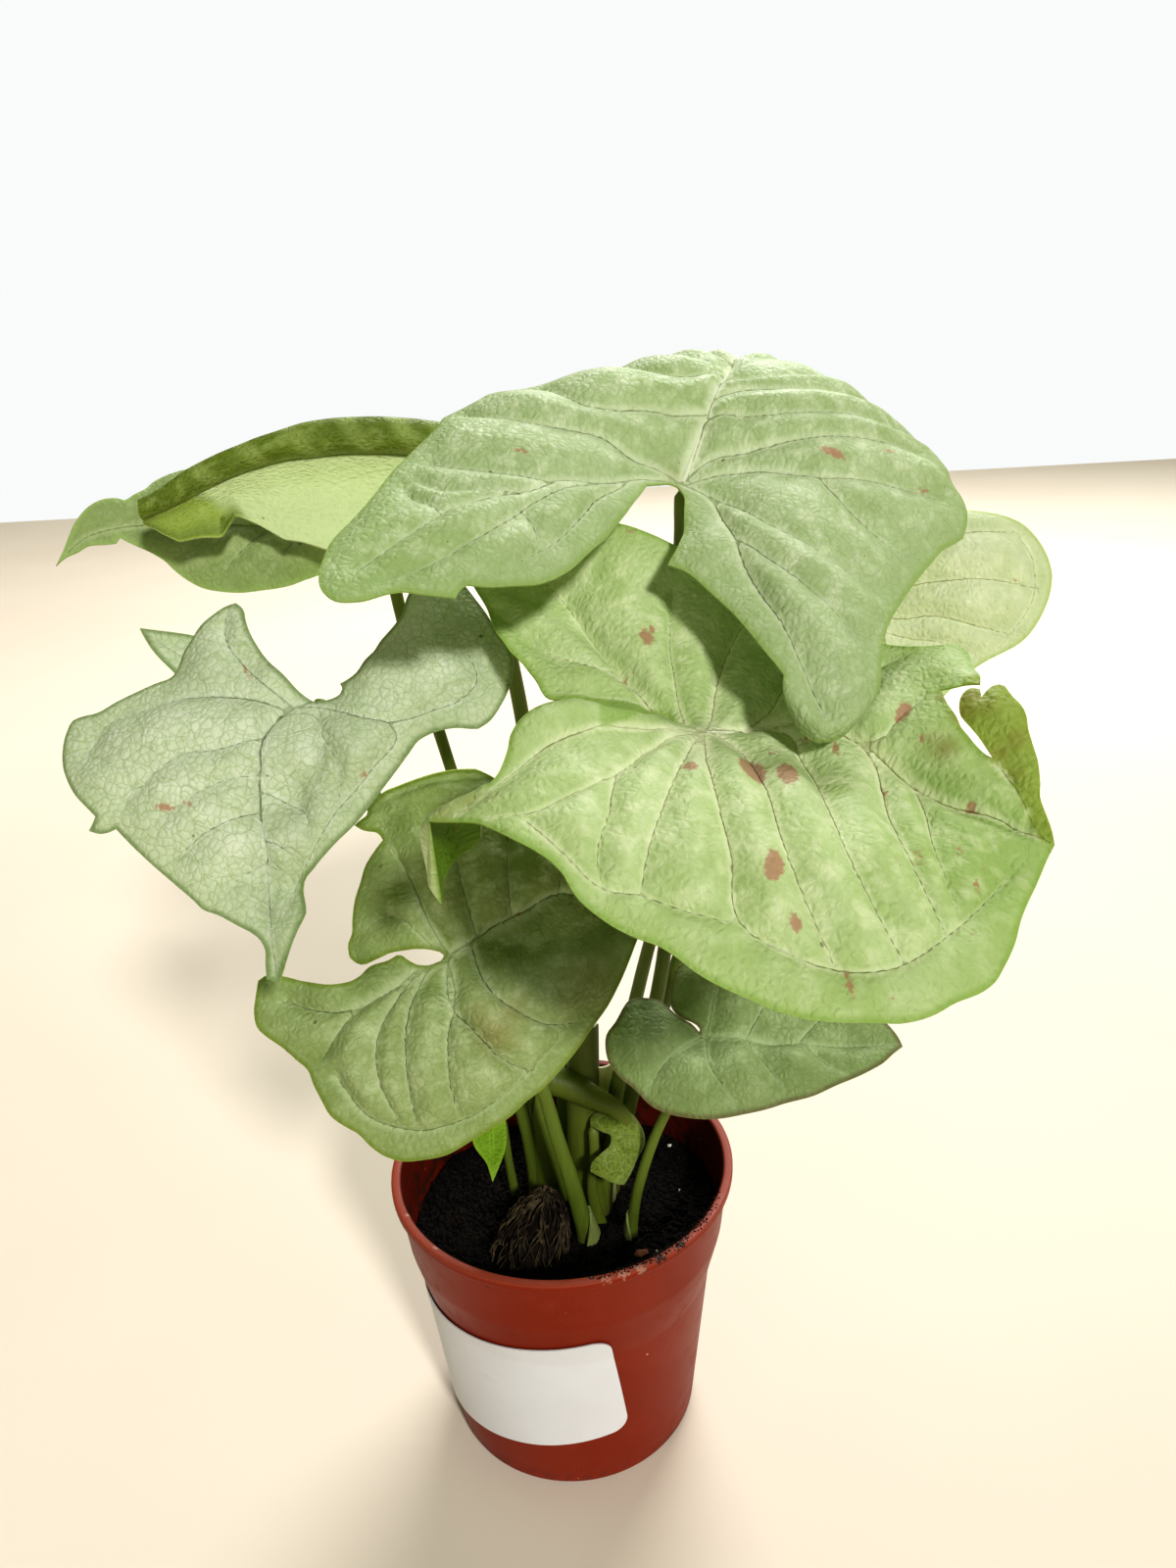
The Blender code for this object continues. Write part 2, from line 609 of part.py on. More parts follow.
def make_rolled_blade(material):
    """The blade whose far half is rolled over towards the front, made from slices along the roll."""
    slices = [rolled_section(*station) for station in ROLLED_STATIONS]
    steps = [ROLLED_SPAN_STEPS] * (len(slices) - 1)
    smooth = [False] * len(slices)
    lines = [curve_through(list(line), smooth, steps) for line in zip(*slices)]
    grid = [list(column) for column in zip(*lines)]
    add_object("blade_rolled", thick_sheet(grid, None), material)


def make_stem(stem, material):
    """A tapered tube along the stem's route."""
    route = [Vector(place) for place in stem.route]
    count = [STEM_STEPS] * (len(route) - 1)
    line = curve_through(route, [False] * len(route), count)
    shape = bmesh.new()
    rings = []
    side = Vector((1, 0, 0))
    for i, place in enumerate(line):
        ahead = (line[min(i + 1, len(line) - 1)] - line[max(i - 1, 0)]).normalized()
        side = (side - side.dot(ahead) * ahead).normalized()
        across = ahead.cross(side)
        share = i / (len(line) - 1)
        radius = stem.base_radius + (stem.top_radius - stem.base_radius) * min(1.0, 1.6 * share)
        turns = [2 * math.pi * k / STEM_SIDES for k in range(STEM_SIDES)]
        rings.append([shape.verts.new(place + radius * (math.cos(a) * side + math.sin(a) * across))
                      for a in turns])
    for low, high in zip(rings, rings[1:]):
        for k in range(STEM_SIDES):
            m = (k + 1) % STEM_SIDES
            shape.faces.new((low[k], low[m], high[m], high[k]))
    shape.faces.new(rings[0][::-1])
    shape.faces.new(rings[-1])
    add_object(stem.name, shape, material)


def clump_shape(grow):
    """A leaning dome with a flat foot, grown all round by the given amount."""
    sides = 16
    levels = 5
    across, along, up = [radius + grow for radius in CLUMP_RADII]
    shape = bmesh.new()
    rings = []
    for level in range(levels):
        rise = math.pi / 2 * level / levels
        lean = math.sin(rise)
        centre = Vector((CLUMP_LEAN[0] * lean, CLUMP_LEAN[1] * lean, up * math.sin(rise) - grow))
        turns = [2 * math.pi * k / sides for k in range(sides)]
        rings.append([shape.verts.new(centre + Vector((across * math.cos(rise) * math.cos(a),
                                                       along * math.cos(rise) * math.sin(a), 0)))
                      for a in turns])
    crown = shape.verts.new((CLUMP_LEAN[0], CLUMP_LEAN[1], up - grow))
    for low, high in zip(rings, rings[1:]):
        for k in range(sides):
            m = (k + 1) % sides
            shape.faces.new((low[k], low[m], high[m], high[k]))
    for k in range(sides):
        shape.faces.new((rings[-1][k], rings[-1][(k + 1) % sides], crown))
    shape.faces.new(rings[0][::-1])
    bmesh.ops.translate(shape, verts=shape.verts, vec=CLUMP_CENTRE)
    return shape


def make_soil(material, clump_material):
    inner = [
        (0, SOIL_BOTTOM_Z), (outer_radius(SOIL_BOTTOM_Z) - WALL - GAP, SOIL_BOTTOM_Z),
        (SHOULDER_BOTTOM_RADIUS - WALL - GAP, SHOULDER_BOTTOM_Z),
        (COLLAR_BOTTOM_RADIUS - WALL - GAP, SOIL_EDGE_Z),
        (COLLAR_BOTTOM_RADIUS / 2, SOIL_MIDDLE_Z - 0.3), (0, SOIL_MIDDLE_Z),
    ]
    soil = add_object("soil", turned(inner, POT_SIDES), material)
    sockets = bmesh.new()
    for stem in STEMS:
        radius = stem.base_radius + GAP + 0.4
        x, y, z = stem.route[0]
        socket = bmesh.ops.create_cone(
            sockets, cap_ends=True, segments=12, radius1=radius, radius2=radius, depth=HOLE_DEPTH)
        lean = (Vector(stem.route[1]) - Vector(stem.route[0])).normalized()
        bmesh.ops.rotate(sockets, verts=socket["verts"], matrix=lean.to_track_quat("Z", "Y").to_matrix())
        middle = Vector((x, y, z)) + lean * (HOLE_DEPTH / 2 - GAP)
        bmesh.ops.translate(sockets, verts=socket["verts"], vec=middle)
    cut(soil, add_object("guide_stem_sockets", sockets, material))
    cut(soil, add_object("guide_clump_socket", clump_shape(GAP), material))
    add_object("root_clump", clump_shape(0.0), clump_material)


def main():
    clear_scene()
    plastic = principled("terracotta plastic", (0.30, 0.055, 0.022), 0.42)
    paper = principled("label paper", (0.80, 0.79, 0.76), 0.6)
    peat = principled("peat", (0.012, 0.009, 0.007), 0.95)
    roots = principled("old roots", (0.09, 0.055, 0.032), 0.9)
    leaf = principled("blade green", (0.36, 0.50, 0.22), 0.4, 0.1)
    stalk = principled("stem green", (0.17, 0.27, 0.06), 0.4, 0.1)
    make_pot(plastic)
    make_label(paper)
    make_soil(peat, roots)
    for blade in BLADES:
        make_blade(blade, leaf)
    make_rolled_blade(leaf)
    for stem in STEMS:
        make_stem(stem, stalk)


main()
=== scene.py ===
"""Arrowhead plant in a small plastic nursery pot: finished leaves, stems, soil, pot and label.

Sizes are in millimetres in the part's own frame, and MM turns them into metres. +Z is up and the front faces
-Y. Each leaf is grown from the same outline as its solid, on a much finer net, and its veins, flecks and
margin are kept as attributes that its material reads.
"""

import math
from collections import namedtuple

import bmesh
import bpy
import numpy as np
from mathutils import Euler, Matrix, Vector
from mathutils.geometry import delaunay_2d_cdt
from mathutils.kdtree import KDTree
from mathutils.noise import noise


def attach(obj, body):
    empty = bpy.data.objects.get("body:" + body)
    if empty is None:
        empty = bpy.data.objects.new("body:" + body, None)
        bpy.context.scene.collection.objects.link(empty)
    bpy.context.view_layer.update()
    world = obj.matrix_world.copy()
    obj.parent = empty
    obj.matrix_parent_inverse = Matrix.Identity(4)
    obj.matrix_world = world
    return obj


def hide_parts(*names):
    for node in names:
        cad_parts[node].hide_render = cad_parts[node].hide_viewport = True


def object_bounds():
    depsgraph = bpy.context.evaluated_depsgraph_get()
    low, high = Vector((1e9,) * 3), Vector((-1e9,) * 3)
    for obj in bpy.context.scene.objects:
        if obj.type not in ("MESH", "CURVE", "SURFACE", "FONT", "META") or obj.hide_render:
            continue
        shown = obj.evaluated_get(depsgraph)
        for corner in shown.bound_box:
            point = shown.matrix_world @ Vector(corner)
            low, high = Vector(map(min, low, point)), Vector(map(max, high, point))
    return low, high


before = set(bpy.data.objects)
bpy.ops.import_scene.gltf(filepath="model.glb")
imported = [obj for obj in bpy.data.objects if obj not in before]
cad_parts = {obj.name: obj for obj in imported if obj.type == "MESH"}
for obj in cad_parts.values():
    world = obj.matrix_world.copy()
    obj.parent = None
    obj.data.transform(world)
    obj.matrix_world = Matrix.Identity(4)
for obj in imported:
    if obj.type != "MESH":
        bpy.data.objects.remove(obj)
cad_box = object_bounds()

MM = 0.001
BODY = "root"

# Pot
RIM_RADIUS = 35.0
POT_HEIGHT = 61.2
BASE_RADIUS = 26.1
LIP_WIDTH = 2.0
LIP_HEIGHT = 2.0
WALL = 0.9
COLLAR_BOTTOM_Z = 48.0
COLLAR_BOTTOM_RADIUS = 32.7
SHOULDER_BOTTOM_Z = 37.5
SHOULDER_BOTTOM_RADIUS = 30.1
POT_FLOOR_Z = 2.1
DRAIN_HOLES = 6
DRAIN_RADIUS = 3.0
DRAIN_RING = 18.0

# Label
LABEL_WIDTH = 57.0
LABEL_HEIGHT = 28.5
LABEL_CORNER = 3.5
LABEL_LIFT = 0.3
LABEL_THICKNESS = 0.3
LABEL_TILT = math.radians(8.7)
LABEL_ARC = -20.0
LABEL_Z = 25.7

# Soil and root clump
SOIL_EDGE_Z = 48.0
SOIL_MIDDLE_Z = 50.0
SOIL_BOTTOM_Z = 2.4
SOIL_CLEARANCE = 0.15
CLUMP_RADII = (7.0, 5.5, 11.0)
CLUMP_CENTRE = (-8.0, -14.0, 49.0)
CLUMP_LEAN = (4.0, 5.0)
BARK_PLACE = (14.3, -17.5)
HAIR_RADIUS = 0.12
# Perlite grains: x, y and size
PERLITE = [(24.1, 15.6, 0.9), (24.4, 0.2, 1.0), (17.5, -16.5, 0.7), (18.5, -20.5, 0.8), (-12.0, 12.0, 1.2)]

# Fine pale roots on the soil: places as x, y and height above the soil
HAIRS = [
    [(-7, -26, 0.4), (-9.5, -27.5, 0.5), (-12, -27.5, 0.4), (-14, -26, 0.3)],
    [(2, -22, 0.5), (3.5, -24, 1.2), (5.5, -24.5, 0.5), (7.5, -23, 0.3)],
    [(-4, -24, 0.3), (-2, -26.5, 0.6), (1.5, -27, 0.3)],
]

# Marks on the pot: x, y, z and reach
DARK_MARKS = [(7.5, -30.4, 50.5, 2.4), (12.8, -31.0, 60.5, 2.6), (9.8, -31.5, 59.4, 2.0), (16.5, -30.0, 61.2, 2.8),
              (21.0, -27.0, 61.2, 2.6), (4.0, -33.5, 61.2, 1.6)]
PALE_MARKS = [(6.5, -34.0, 61.1, 1.9), (9.6, -33.3, 61.1, 2.2), (12.8, -32.2, 61.1, 2.0), (-30.5, -13.5, 61.2, 1.3),
              (-24.8, -23.0, 61.2, 1.1), (-10.0, -27.6, 8.0, 1.0), (-6.8, -27.8, 7.4, 0.8)]

# Camera and key light, with lengths in metres and angles in degrees
CAMERA_PLACE = (0.0, -0.1983, 0.2212)
CAMERA_YAW = 2.63
CAMERA_PITCH = -21.40
CAMERA_ROLL = -2.77
CAMERA_LENS = 27
SUN_DIRECTION = (-0.30, 0.80, -0.56)
SUN_STRENGTH = 2.38

# Leaves
LEAF_THICKNESS = 0.5
MARGIN_THICKNESS = 0.32
ROLL_RADIUS = 1.6
CREASE_DEPTH = 0.28
PILLOW_HEIGHT = 2.7
PILLOW_REACH = 3.2
FORM_SLACK = 8.0
FLAP_LEAST = 0.05
SETTLE_REACH = 4.0
ROW_STEP = 0.866
PLAN_MAP_SIZE = 100.0
SHEATH_THICKNESS = 0.45

Point = namedtuple("Point", "forward left rise arch corner", defaults=(0,))
Blade = namedtuple("Blade", "name joint heading pitch roll outline")
Stem = namedtuple("Stem", "name base_radius top_radius route")
Vein = namedtuple("Vein", "width places")
Crease = namedtuple("Crease", "depth reach places")


def blade_plan(name, joint, heading, pitch, roll, rows):
    """A blade from the joint that it grows from, its turn there in degrees and its outline's rows."""
    return Blade(name, joint, heading, pitch, roll, [Point(*row) for row in rows])


# Outlines of the solids' blades in their plans: forward, left, rise above the joint, arch towards the joint, and
# 1 at a corner. Each runs from the right of the joint round the tip to the left of it.
TOP = blade_plan("blade_top", (25.0, -16.5, 197.5), 73, 1, 12, [
    (-10, -2, -5.5, 1), (-17.5, -3, -8, 1, 1), (-26.5, -15.5, -13, 1), (-36.5, -29.5, -20, 4, 1),
    (-27, -34, -14.5, 4), (-10.5, -36.5, -9.5, 5), (9.5, -43, -0.5, 5, 1), (25.5, -39, 6.5, 8), (43, -27, 8.5, 12),
    (59, -12.5, 4, 16), (81.5, -0.5, -1, 18, 1), (52.5, 10.5, 3, 16), (26.5, 27.5, 3.5, 11), (5.5, 38, 3.5, 7),
    (-7.5, 39.5, 0, 5, 1), (-26, 40, -8, 4), (-43, 38, -14, 4, 1), (-40.5, 27, -13.5, 3), (-31, 13.5, -11.5, 2),
    (-18.5, 6, -7.5, 1),
])

RIGHT = blade_plan("blade_right", (23.0, -48.0, 168.5), -31, -11, 22, [
    (-9.5, -4, 4.5, 0), (-14, -6.5, 5.5, 1), (-17, -13, 9, 1), (-16, -24.5, 7.5, 2), (-20.5, -35, 5, 5, 1),
    (-10.5, -32.5, 9, 3), (3.5, -36.5, 6, 5), (15, -37.5, 3, 6), (25.5, -35.5, 0.5, 7), (36.5, -32, -1.5, 7),
    (44, -23, -2.5, 6), (46, -12, -1.5, 3), (46.5, 0, 0, 0, 1), (42, 8, 3, -2), (36.5, 18.5, 6.5, -2, 1),
    (32, 16, 5.5, -2, 1), (29, 25.5, 3.5, -2, 1), (15, 31.5, 0.5, -2), (-2, 34, 4, -3), (-25.5, 27.5, 9.5, -3),
    (-41.5, 19, 6.5, -2, 1), (-41.5, 10, 4, -1), (-31.5, 1.5, 2, 0), (-22.5, -3.5, 0, 0),
])

UPPER_LEFT = blade_plan("blade_upper_left", (-24.0, 9.0, 193.5), -166, -6, -48, [
    (-2, -2.5, 0, 0), (-4.5, -7, -1, 1, 1), (6.5, -14.5, -3.5, 3), (19.5, -18, -4.5, 4), (27.5, -17, -3.5, 3),
    (35, -14.5, -2, 2), (38, -11, 0.5, 1), (42.5, -10.5, 1.5, 1), (46, -9, 2.5, 1), (49.5, -5.5, 1.5, 0),
    (53, -0.5, 0, 0, 1), (47.5, -2.5, 1, 0), (43, -3, 0, 1, 1), (37, 0.5, -2, 3), (32.5, 7, -3, 4), (25.5, 10, -2, 5),
    (17.5, 10.5, -1.5, 4), (9, 8.5, -1, 3, 1), (3.5, 4.5, -0.5, 1), (0.5, 2, 0, 0),
])

LEFT = blade_plan("blade_left", (-33.0, -23.5, 169.5), -105, -54, -10, [
    (-0.5, -2.5, -1, 0), (-7.5, -11, -2, 1), (-16.5, -16.5, -4.5, 2, 1), (-10, -21, -3, 3), (-1.5, -24, -2, 3),
    (4.5, -34.5, -1, 3), (12.5, -37, 0, 4), (24, -29.5, 2.5, 4, 1), (23, -25.5, 2.5, 4), (31.5, -14.5, 2, 4),
    (37, -2, 2.5, 2), (43, 0, -0.5, 0, 1), (34, 3, 2, 2), (26, 4, 1.5, 3), (16, 11.5, 1, 4), (5, 17, 0.5, 4),
    (0.5, 27, -1, 3), (-9, 29.5, -1, 3), (-18, 23.5, -1.5, 3), (-18.5, 12.5, -2, 2), (-8.5, 8, -1, 1),
    (-3.5, 3.5, -1.5, 0, 1), (-0.5, 2, -1, 0),
])

LOW = blade_plan("blade_low", (-16.5, -30.0, 127.0), 8, -3, 53, [
    (-6.5, -0.5, -1.5, 0), (-14.5, -2.5, -3.5, 1), (-23, -1.5, -5, 2), (-30, 0, -7, 2, 1), (-30.5, -6.5, -6.5, 3),
    (-23, -15, -4.5, 5), (-21, -21.5, -3.5, 5), (-11.5, -30.5, -3, 6), (0.5, -29.5, 0.5, 6), (12.5, -22.5, 2.5, 6),
    (21, -14, 2.5, 4), (27.5, -6.5, 2, 2), (31.5, 0, 0, 0, 1), (26.5, 11.5, 1.5, 2), (16.5, 23.5, 0.5, 4),
    (3, 29.5, -0.5, 5), (-6, 27.5, -1.5, 5), (-13, 23.5, -2, 4, 1), (-11.5, 17, -3.5, 3), (-14.5, 8.5, -5.5, 3),
    (-14.5, 1, -7, 2), (-8.5, 0, -3.5, 1), (-4, 1.5, -1, 0),
])

LOW_RIGHT = blade_plan("blade_low_right", (26.0, -25.0, 104.0), -12, 0, 26, [
    (-2.5, 2, 1, 0), (-7.5, 4.5, 3, 1), (-14, 4, 5, 1), (-16.5, -2.5, 4, 2), (-14, -8.5, 2, 3), (-6.5, -14, -0.5, 4),
    (2, -14.5, 0, 4), (12, -12.5, 0, 4), (22.5, -7.5, 1, 3), (29, -3.5, 0.5, 1), (34, 0.5, 0, 0, 1),
    (31, 4.5, 0.5, 0), (22.5, 12, 2, 2), (8.5, 18, 4, 3), (-2, 17, 3.5, 3), (-6, 12.5, 2, 2), (-6.5, 7.5, 0, 1),
    (-2.5, 3.5, 0, 0),
])

BACK_RIGHT = blade_plan("blade_back_right", (64.0, 18.0, 182.5), -79, -59, 14, [
    (-3.5, -1.5, -0.5, 0), (-9.5, -7, -1.5, 2, 1), (7.5, -16.5, 0, 3), (25.5, -11.5, 0.5, 3), (38, 0, 0, 0, 1),
    (28.5, 14, -0.5, 3), (24, 25, -1, 4), (12.5, 31.5, -0.5, 4), (4, 28.5, 0, 3), (-1, 18.5, 0, 3), (-3, 9, -0.5, 1),
    (-2, 2.5, -1, 0),
])

LEFT_SMALL = blade_plan("blade_left_small", (-50.5, -10.0, 168.5), 174, 41, -39, [
    (0.5, -1, 1, 0), (3, -5.5, 2, 1, 1), (9, -4, 0.5, 1), (15.5, 0, 0, 0, 1), (10.5, 2.5, 1, 1), (4, 4, 1.5, 1),
    (-4.5, 4.5, 1, 1, 1), (-1.5, 1, 1, 0),
])

NEW = blade_plan("blade_new", (6.5, -7.5, 75.0), -59, -49, 17, [
    (1, -1, -0.5, 0), (3, 0, 1.5, 1), (7, -3.5, -0.5, 2, 1), (10.5, -1.5, 0.5, 2), (13, 0, 0, 1, 1),
    (10.5, 4.5, 1, 2), (7.5, 8, 1.5, 3), (2.5, 8, -0.5, 3), (0, 4.5, -1, 1),
])

BUD = blade_plan("blade_bud", (-13.0, -10.5, 84.0), -111, -82, -35, [
    (1, -2, 0, 0), (8, -3.5, 0, 1), (13, -1, 0, 1), (17, 0, 0.5, 0, 1), (14, 1.5, 0, 1), (8, 3, 0, 1),
    (1.5, 1.5, 0, 0),
])

BLADES = [TOP, RIGHT, UPPER_LEFT, LEFT, LOW, LOW_RIGHT, BACK_RIGHT, LEFT_SMALL, NEW, BUD]

# Margins of the biggest leaves in their plans: forward, left, then 1 at a corner, and a flap's length and curl
LEAF_EDGES = {
    "blade_top": [
        (-1.2, 0.7), (-2.8, -0.6), (-6.4, -1.7), (-9, -2.5), (-14, -2.8), (-17.6, -2.2, 1), (-18.1, -5),
        (-20.1, -8.6), (-22.3, -11.6), (-25.4, -15.1), (-28.8, -18.4), (-31.7, -21.8), (-32.9, -23.1, 0, 2, -70),
        (-34.3, -25.3, 0, 4, -70), (-35, -27.8, 0, 4, -70), (-33.7, -30.2, 0, 4, -70), (-31.1, -32, 0, 3, -70),
        (-28.7, -33.3, 0, 1, -70), (-25.6, -33.8), (-22.7, -33.6), (-18.3, -33.7), (-14, -34.3), (-5.7, -36.4),
        (0.3, -38.7), (3.7, -40.1), (6.4, -41.8), (8.4, -42.9, 1), (11.9, -43.2), (15.7, -42.8), (18, -41.8),
        (19.7, -40.3), (25.5, -39), (34.5, -34), (43, -27), (51.5, -19.5), (59, -12.5), (69, -6.5), (81.5, -0.5, 1),
        (66, 4.5), (52.5, 10.5), (40, 18.5), (26.5, 27.5), (16, 33.5), (6, 38.2), (1.7, 39.3), (-3.7, 38.5),
        (-9.6, 39.4), (-15.8, 40.5), (-21.8, 40.8), (-28, 41.2),
        (-33.1, 41.5), (-37.8, 40.6), (-41.1, 39.6), (-43.5, 38.1), (-44.7, 35.6), (-43.8, 32.9), (-41.1, 29.7),
        (-40.3, 28.4), (-39.7, 25.9), (-38.3, 21.7, 1), (-37.4, 21.7), (-36, 21.1, 1), (-35, 18.9), (-32.5, 15.6),
        (-29, 11.6), (-26.6, 9.9), (-22.7, 8.4), (-16.9, 6.9), (-12.4, 5.7), (-8.7, 5), (-5.3, 4.7, 1), (-3.3, 3.2),
        (-1.4, 1.5),
    ],
    "blade_right": [
        (-4.8, 1.3), (-7.2, 2.4), (-8.9, 0.5), (-8.4, -6.2), (-9.5, -9), (-9.6, -10, 1), (-11.1, -7.5), (-16.2, -0.3),
        (-17.9, -0.6), (-19.8, -1.7), (-21.7, -3.2), (-18, -12.4), (-18.6, -14.4), (-18.9, -16.3), (-18.7, -18.5),
        (-17.9, -20.6), (-17.4, -22.5), (-17, -24.5), (-17.1, -26.3, 1), (-17.6, -27.8, 0, 11, -72),
        (-18.6, -29.2, 0, 12.5, -72), (-19.5, -30.6, 0, 13, -72), (-20.4, -31.5, 0, 15, -72),
        (-21.2, -32.3, 0, 17, -72), (-21.6, -32.8, 0, 18, -72), (-21.8, -33.3, 1), (-19.5, -33), (-17.1, -32.8),
        (-14.4, -32.9), (-12.3, -33.4), (-9.2, -34), (-6, -34.3), (-3.6, -34.7), (-1.6, -35.4), (-0.1, -36.4),
        (1.4, -37.1), (3.2, -37.5), (5.8, -37.8), (8.8, -37.7), (11.3, -37.3), (13.5, -37.4), (16.3, -37.8),
        (19.6, -37.7), (22, -37.4), (25.1, -37), (28.3, -36.2), (31.2, -35), (35, -32.9), (38.3, -30.9),
        (40.4, -28.7), (42.3, -25.7), (44.5, -22.8), (45.4, -20.9), (45.7, -19.1), (46, -15.5), (45.8, -11.8),
        (46.2, -5.5), (46.3, -3.1), (46.6, -0, 1), (45.9, 1.4), (44.4, 3.5), (43.2, 5.2), (42.7, 6.8), (42.1, 8.2),
        (41.6, 9.3), (40.4, 11.1), (39.1, 13.1), (38.3, 14.8), (37.3, 16), (36, 16.9), (35.2, 17.7, 1), (33.8, 18.8),
        (33.1, 18.3), (32.6, 17), (32.3, 16, 1), (31.7, 17.5, 1), (30.6, 17.7), (29.9, 16.5), (30, 14.7),
        (30.8, 12.9), (32.2, 11.8), (33.7, 10.7), (35, 9.6), (36.4, 8.4, 1), (35.5, 8.6), (34, 9.4), (32.4, 10.6),
        (31.2, 11.5, 1), (30.1, 12.9), (28.6, 14.5), (26.8, 17.6, 1), (28.2, 18), (29.6, 18.6), (31.4, 18.8, 1),
        (31, 20.6), (29.6, 22.9), (28.5, 25.9), (27.1, 28.1), (25.6, 28.9), (21.8, 28.4), (15.6, 28.1), (8.3, 31.7),
        (-1.9, 33.4), (-10.5, 30.7), (-16.7, 28.4), (-20.7, 28.1), (-26.5, 27.5), (-33.3, 26.5), (-38.2, 22.6),
        (-43.5, 16.2), (-44.7, 11.7, 1), (-42.2, 10), (-39.1, 7.8), (-35.6, 4.4), (-32.2, 2.6), (-29.4, 1.4),
        (-26.4, -0.4), (-22.7, -2.8), (-19.3, -1.7), (-16.1, 0.2), (-12.4, 1.4), (-9.6, 2.6), (-7.1, 3.1),
    ],
    "blade_left": [
        (0.1, -0.7), (-1.1, -2.9), (-3, -5.1), (-4.6, -7.2), (-7.5, -10.1), (-9.8, -11.8), (-12.5, -13.3),
        (-14.9, -14.5), (-16.2, -16.1, 1), (-15.7, -17.5), (-13.9, -19.3), (-11.6, -20.9), (-9.3, -21.6),
        (-6.7, -22.5), (-4.1, -22.8), (-2.6, -23.3), (-1.2, -25.7), (0.7, -28.2), (2.6, -30.7), (4.7, -33.3),
        (5.3, -35.7), (6, -37.2), (8, -37.6), (10.8, -37.4), (13.3, -36.7), (16, -35), (18.3, -33), (19.9, -31),
        (21.3, -29.2, 1), (22.5, -29.5), (23.5, -29.9, 1), (23.8, -27.9), (22.9, -25.9, 1), (24.8, -23.6),
        (27.1, -20.6), (30.5, -15.8), (32.4, -13), (33.6, -11.5), (34.2, -9.3), (35.7, -5.7), (36.6, -3.6),
        (37.5, -2.4), (38.8, -1.7), (40.7, -1.6), (42.8, -1.4, 1), (43.2, 0.3, 1), (41.8, 0.8), (39.2, 1.6),
        (36.8, 2.3), (34.8, 2.9), (33, 3.4), (31.5, 3), (29.4, 2.2), (28.3, 2.2), (26.3, 3.6), (22.9, 6.2),
        (19.4, 8.9), (14.7, 11.6), (10.6, 14), (7.7, 15.5), (5.6, 16.6), (4.6, 17.8), (3.5, 20), (2.9, 22.3),
        (2.8, 24), (2.6, 25.2, 1), (1.2, 26.8), (-1.1, 28.1), (-3.7, 29.1), (-6.2, 29.6), (-8.6, 29.4), (-10.8, 28.6),
        (-13.2, 26.5), (-16.4, 24.3), (-18.9, 22.3), (-20.9, 20.7, 1), (-23.7, 17.8), (-24.2, 14.5), (-22, 12.5),
        (-17.9, 11.7), (-14.1, 11.5), (-12, 10.4), (-9.9, 8.7), (-6.8, 7.3), (-4.4, 5.9), (-3.3, 4.1), (-2.8, 3.3, 1),
        (-1.8, 3.9), (-0.9, 3.7), (-0.1, 2),
    ],
    "blade_low": [
        (-1, -0.8), (-2.9, -1.3), (-4.9, -0.9), (-6.3, 0.2), (-7.2, 1), (-9.9, 0.1), (-12.2, -0.3), (-13.8, -1.6),
        (-15.4, -2.4), (-18.5, -2.7), (-22.5, -1.5), (-26, -0.1), (-28.5, 0.5), (-30.1, -0.3, 1), (-30.5, -2.5),
        (-30.9, -5.6), (-30.5, -7.7), (-29, -9.4), (-26.8, -11.2), (-24.6, -13.5), (-22.8, -15.4), (-22.1, -17.6),
        (-21, -20.1), (-19.7, -22.7), (-17.7, -24.5), (-15.7, -25.9), (-14, -27.9), (-12, -29.6), (-9.4, -30.7),
        (-6.1, -30.9), (-2.5, -30.6), (0.9, -29.2), (4.3, -27.6), (7.5, -26.1), (10.4, -24), (13.2, -22.4),
        (16.1, -20), (19.3, -17), (22.1, -13.9), (24.9, -10.8), (27.4, -7.3), (29.4, -4.2), (32.1, 0.3, 1),
        (32.1, 5.3), (28.8, 12.1), (23.8, 19.3), (17.9, 25.8), (13.1, 28), (10.6, 28.3, 0, 1, 170),
        (7.3, 28.5, 0, 3, 170), (4, 28.6, 0, 3, 170), (0.6, 28.2, 0, 3, 170), (-3.5, 27.2, 0, 3, 170),
        (-6.8, 26.2, 0, 3, 170), (-9.2, 25.4, 0, 2, 170), (-11.2, 24.6), (-13.2, 23.4, 1), (-11.6, 22.2),
        (-9.6, 21.4), (-8.7, 19.8, 1), (-10.3, 18.3), (-11.7, 16.7), (-12.7, 14.1), (-13.8, 11.4), (-14.5, 7.9),
        (-14.7, 5.9), (-15.4, 4.5), (-15.4, 2.1, 1), (-13.7, 0.6), (-11, 1), (-8.6, 1.7), (-6.7, 1.7), (-4.2, 1.6),
        (-2, 1.1), (-0.5, 0.3),
    ],
    "blade_low_right": [
        (-0.9, 1.2), (-2.4, 2.5), (-4.6, 3), (-6.4, 4.7), (-8.3, 6.3), (-11.1, 5.7), (-13.1, 4.4), (-14.1, 2.3),
        (-15.1, -0.1), (-16.5, -2.3), (-16.5, -4.5), (-15.7, -6.8), (-13.8, -8.9), (-11.1, -10.8), (-8.3, -13),
        (-5.6, -14), (-1.5, -14.7), (3.4, -14.6), (8.2, -13.5), (13, -11.9), (18.6, -10.2), (23.4, -7.4), (27.6, -5),
        (30.4, -3), (32.1, -1.1), (33.7, 0.4, 1), (33, 2.1), (31.8, 3.8), (29.7, 6), (25.6, 9), (18.9, 11.3),
        (12, 13.1), (5.1, 14.1), (-0.2, 13.9), (-3.4, 13.8), (-5.1, 13.1), (-5.9, 10.8), (-6.2, 8.3), (-5.9, 5.3),
        (-4.2, 3.2), (-2.2, 2.9), (-0.8, 1.9),
    ],
    "blade_upper_left": [
